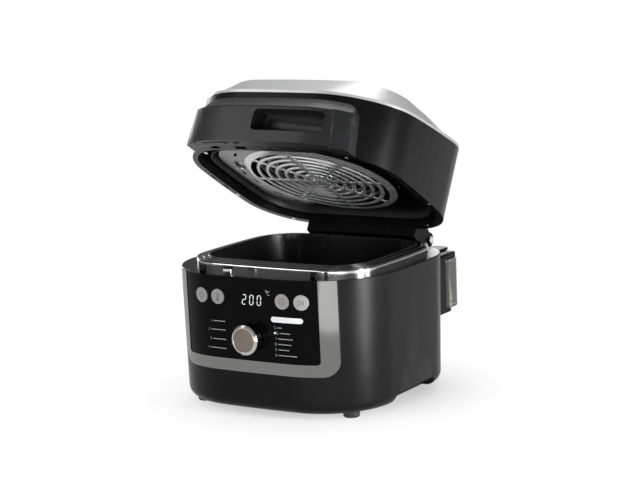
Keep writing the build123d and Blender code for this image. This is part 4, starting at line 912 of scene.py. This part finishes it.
NUMBER_HIGH, NUMBER_WIDE, NUMBER_LINE, BAR_LINE, BAR_GAP = 3.4, 1.7, 0.55, 0.9, 4.4
LEFT_END, RIGHT_START, DOT_Z, DOT_ROOM = -41, 37.5, 119.6, 3.4
left_rows = zip((129.0, 117.0, 104.0, 91.5), (24, 28, 26, 31.5), "1234")
right_rows = zip((127.0, DOT_Z, 112.0, 104.5, 97.0, 89.4), (11, 20, 27, 25, 21, 32), "567890")
mode_rows = [(LEFT_END - long, LEFT_END, z, character) for z, long, character in left_rows]
for z, long, character in right_rows:
    start = RIGHT_START + (DOT_ROOM if z == DOT_Z else 0)
    mode_rows.append((start, start + long, z, character))
numbers = []
for start, end, z, character in mode_rows:
    numbers += digit(character, start, z - NUMBER_HIGH / 2, NUMBER_WIDE, NUMBER_HIGH,
                     NUMBER_LINE, slant=0)
    numbers.append(line((start + BAR_GAP, z), (end, z), BAR_LINE))
marks("mode_numbers", numbers, BASE, "print_grey", GLASS)
dot_points = np.array([[x, DOT_Z] for x in (36.2, 36.5, 37.9, 39.3, 39.6)])
marks("mode_dot", [(dot_points, np.array([0.9, 2.0, 3.3, 2.0, 0.9]), False)], BASE,
      "white_print_painted_glow", GLASS)
print("mode numbers:", len(mode_rows), "rows,", len(numbers), "ribbons")

# %% Button symbols
BUTTON_FACE, BUTTON_Z = GLASS + 0.001, 163.0
z = BUTTON_Z  # every symbol is drawn about the buttons' middle height
icons = {
    "power_button": [ring_line((-79, z), 3.6, 0.7, 120, 420, 30),
                     line((-79, z + 1), (-79, z + 5), 0.7)],
    "temperature_button": [line((-51, z - 3), (-51, z + 5), 1.2),
                           ring_line((-51, z - 4), 1.3, 1.2),
                           line((-48.8, z + 3.4), (-47.2, z + 3.4), 0.6),
                           line((-48.8, z + 0.8), (-47.2, z + 0.8), 0.6)],
    "timer_button": [ring_line((51, z), 4.2, 0.7), line((51, z - 0.3), (51, z + 2.8), 0.6),
                     line((50.9, z), (52.9, z - 1.1), 0.6)],
    "start_button": [line((75.2, z - 3.6), (75.2, z + 3.6), 0.7),
                     line((75.4, z + 3.5), (80, z), 0.7), line((75.4, z - 3.5), (80, z), 0.7),
                     line((82.2, z - 3.4), (82.2, z + 3.4), 0.9),
                     line((84.4, z - 3.4), (84.4, z + 3.4), 0.9)],
}
for button_name, strokes in icons.items():
    marks(button_name + "_symbol", strokes, NODES[button_name]["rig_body"], "icon_dark",
          BUTTON_FACE)
print("symbols on", len(icons), "buttons")

# %% [markdown]
# ## Sky and floor
# The photograph was taken on white. A low, even sky gives every surface a plain light. The floor
# looks white to the camera and in every mirror, but near the machine its own grey is mixed back in,
# so that it keeps the machine's soft shadow. A white sheet bent up behind would do the same, but it
# would stand in the way when the machine is seen from other sides.

# %% Sky
SKY_LOW, SKY_HIGH, SKY_TURN = 0.14, 0.42, 0.6
bpy.context.scene.view_settings.view_transform = "Standard"
world = bpy.data.worlds.new("studio")
bpy.context.scene.world = world
world.use_nodes = True
sky = world.node_tree
direction = node(sky, "ShaderNodeTexCoord").outputs["Generated"]
up = node(sky, "ShaderNodeSeparateXYZ", Vector=direction)
glow = ramp_node(sky, up.outputs["Z"], 0.0, SKY_TURN, SKY_LOW, SKY_HIGH)
sky.links.new(glow, sky.nodes["Background"].inputs["Strength"])
sky.nodes["Background"].inputs["Color"].default_value = (1, 1, 1, 1)
print("sky from", SKY_LOW, "to", SKY_HIGH)

# %% Floor
FLOOR_HALF = 20.0
FADE_START, FADE_END, FADE_LEAST = 0.14, 0.26, 0.5
corners = [(x * FLOOR_HALF, y * FLOOR_HALF, 0) for x, y in ((-1, -1), (1, -1), (1, 1), (-1, 1))]
floor_mesh = bpy.data.meshes.new("floor")
floor_mesh.from_pydata(corners, [], [(0, 1, 2, 3)])
floor = bpy.data.objects.new("floor", floor_mesh)
bpy.context.scene.collection.objects.link(floor)
paint = bpy.data.materials.new("floor_white")
paint.use_nodes = True
tree = paint.node_tree
base = tree.nodes["Principled BSDF"]
base.inputs["Base Color"].default_value = (0.86, 0.86, 0.86, 1)
base.inputs["Roughness"].default_value = 0.7
base.inputs["Specular IOR Level"].default_value = 0.1
white = node(tree, "ShaderNodeEmission", Strength=1.0)
far = vector_node(tree, "LENGTH", node(tree, "ShaderNodeTexCoord").outputs["Object"])
fade = ramp_node(tree, far, FADE_START, FADE_END, FADE_LEAST, 1.0)
path = node(tree, "ShaderNodeLightPath")
seen = math_node(tree, "MAXIMUM", path.outputs["Is Camera Ray"], path.outputs["Is Glossy Ray"])
seen = math_node(tree, "MAXIMUM", seen, path.outputs["Is Transmission Ray"])
mixed = node(tree, "ShaderNodeMixShader")
tree.links.new(math_node(tree, "MULTIPLY", fade, seen), mixed.inputs[0])
tree.links.new(base.outputs[0], mixed.inputs[1])
tree.links.new(white.outputs[0], mixed.inputs[2])
tree.links.new(mixed.outputs[0], tree.nodes["Material Output"].inputs["Surface"])
floor_mesh.materials.append(paint)
print("floor", 2 * FLOOR_HALF, "m wide")

# %% [markdown]
# ## Lamps
# Dark gloss shows its surroundings more than its own colour, so each lamp is shaped for its
# reflection. Two narrow beams on the right draw the upright line on the rounded corners of the body
# and the lid. A card in front is mirrored by the frame round the panel, a wide low lamp lights the
# lid's underside, and high soft ones light the silver cover. Two strips at the left and the rear
# draw the same line on the other corners.

# %% Lamps


def soft_lamp(name, bearing, distance, low, high, width, watts, aim=(0, 0, 0.2), spread=180):
    """A rectangular lamp between two heights. bearing is in degrees from the front towards the
    right-hand side, aim is the point that it faces, and spread narrows its beam."""
    turn = radians(bearing)
    place = Vector((sin(turn) * distance, -cos(turn) * distance, (low + high) / 2))
    light = bpy.data.lights.new(name, "AREA")
    light.shape = "RECTANGLE"
    light.size, light.size_y = width, high - low
    light.energy, light.spread = watts, radians(spread)
    lamp = bpy.data.objects.new(name, light)
    lamp.location = place
    lamp.rotation_euler = (Vector(aim) - place).to_track_quat("-Z", "Y").to_euler()
    bpy.context.scene.collection.objects.link(lamp)


soft_lamp("corner_strip", 76, 0.61, 0.0, 0.36, 0.09, 0.8, (0.14, -0.13, 0.15), spread=50)
soft_lamp("lid_strip", 96, 0.80, 0.16, 0.50, 0.12, 0.2, (0.15, -0.05, 0.34), spread=40)
soft_lamp("panel_card", 36, 0.66, 0.0, 0.24, 0.26, 0.25, (0.10, -0.12, 0.10))
soft_lamp("under_lid", 14, 1.25, 0.0, 0.26, 1.2, 8, (0, -0.05, 0.30))
soft_lamp("front_left", -41, 2.0, 1.1, 2.0, 1.0, 9)
soft_lamp("high_left", -75, 1.3, 1.5, 2.3, 1.3, 5)
soft_lamp("high_rear", -164, 1.3, 1.6, 2.6, 1.2, 18)
soft_lamp("left_strip", -115, 1.1, 0.0, 0.7, 0.22, 3.2)
soft_lamp("rear_strip", -162, 1.2, 0.0, 0.8, 0.30, 3.2)
print("lamps:", len(bpy.data.lights))
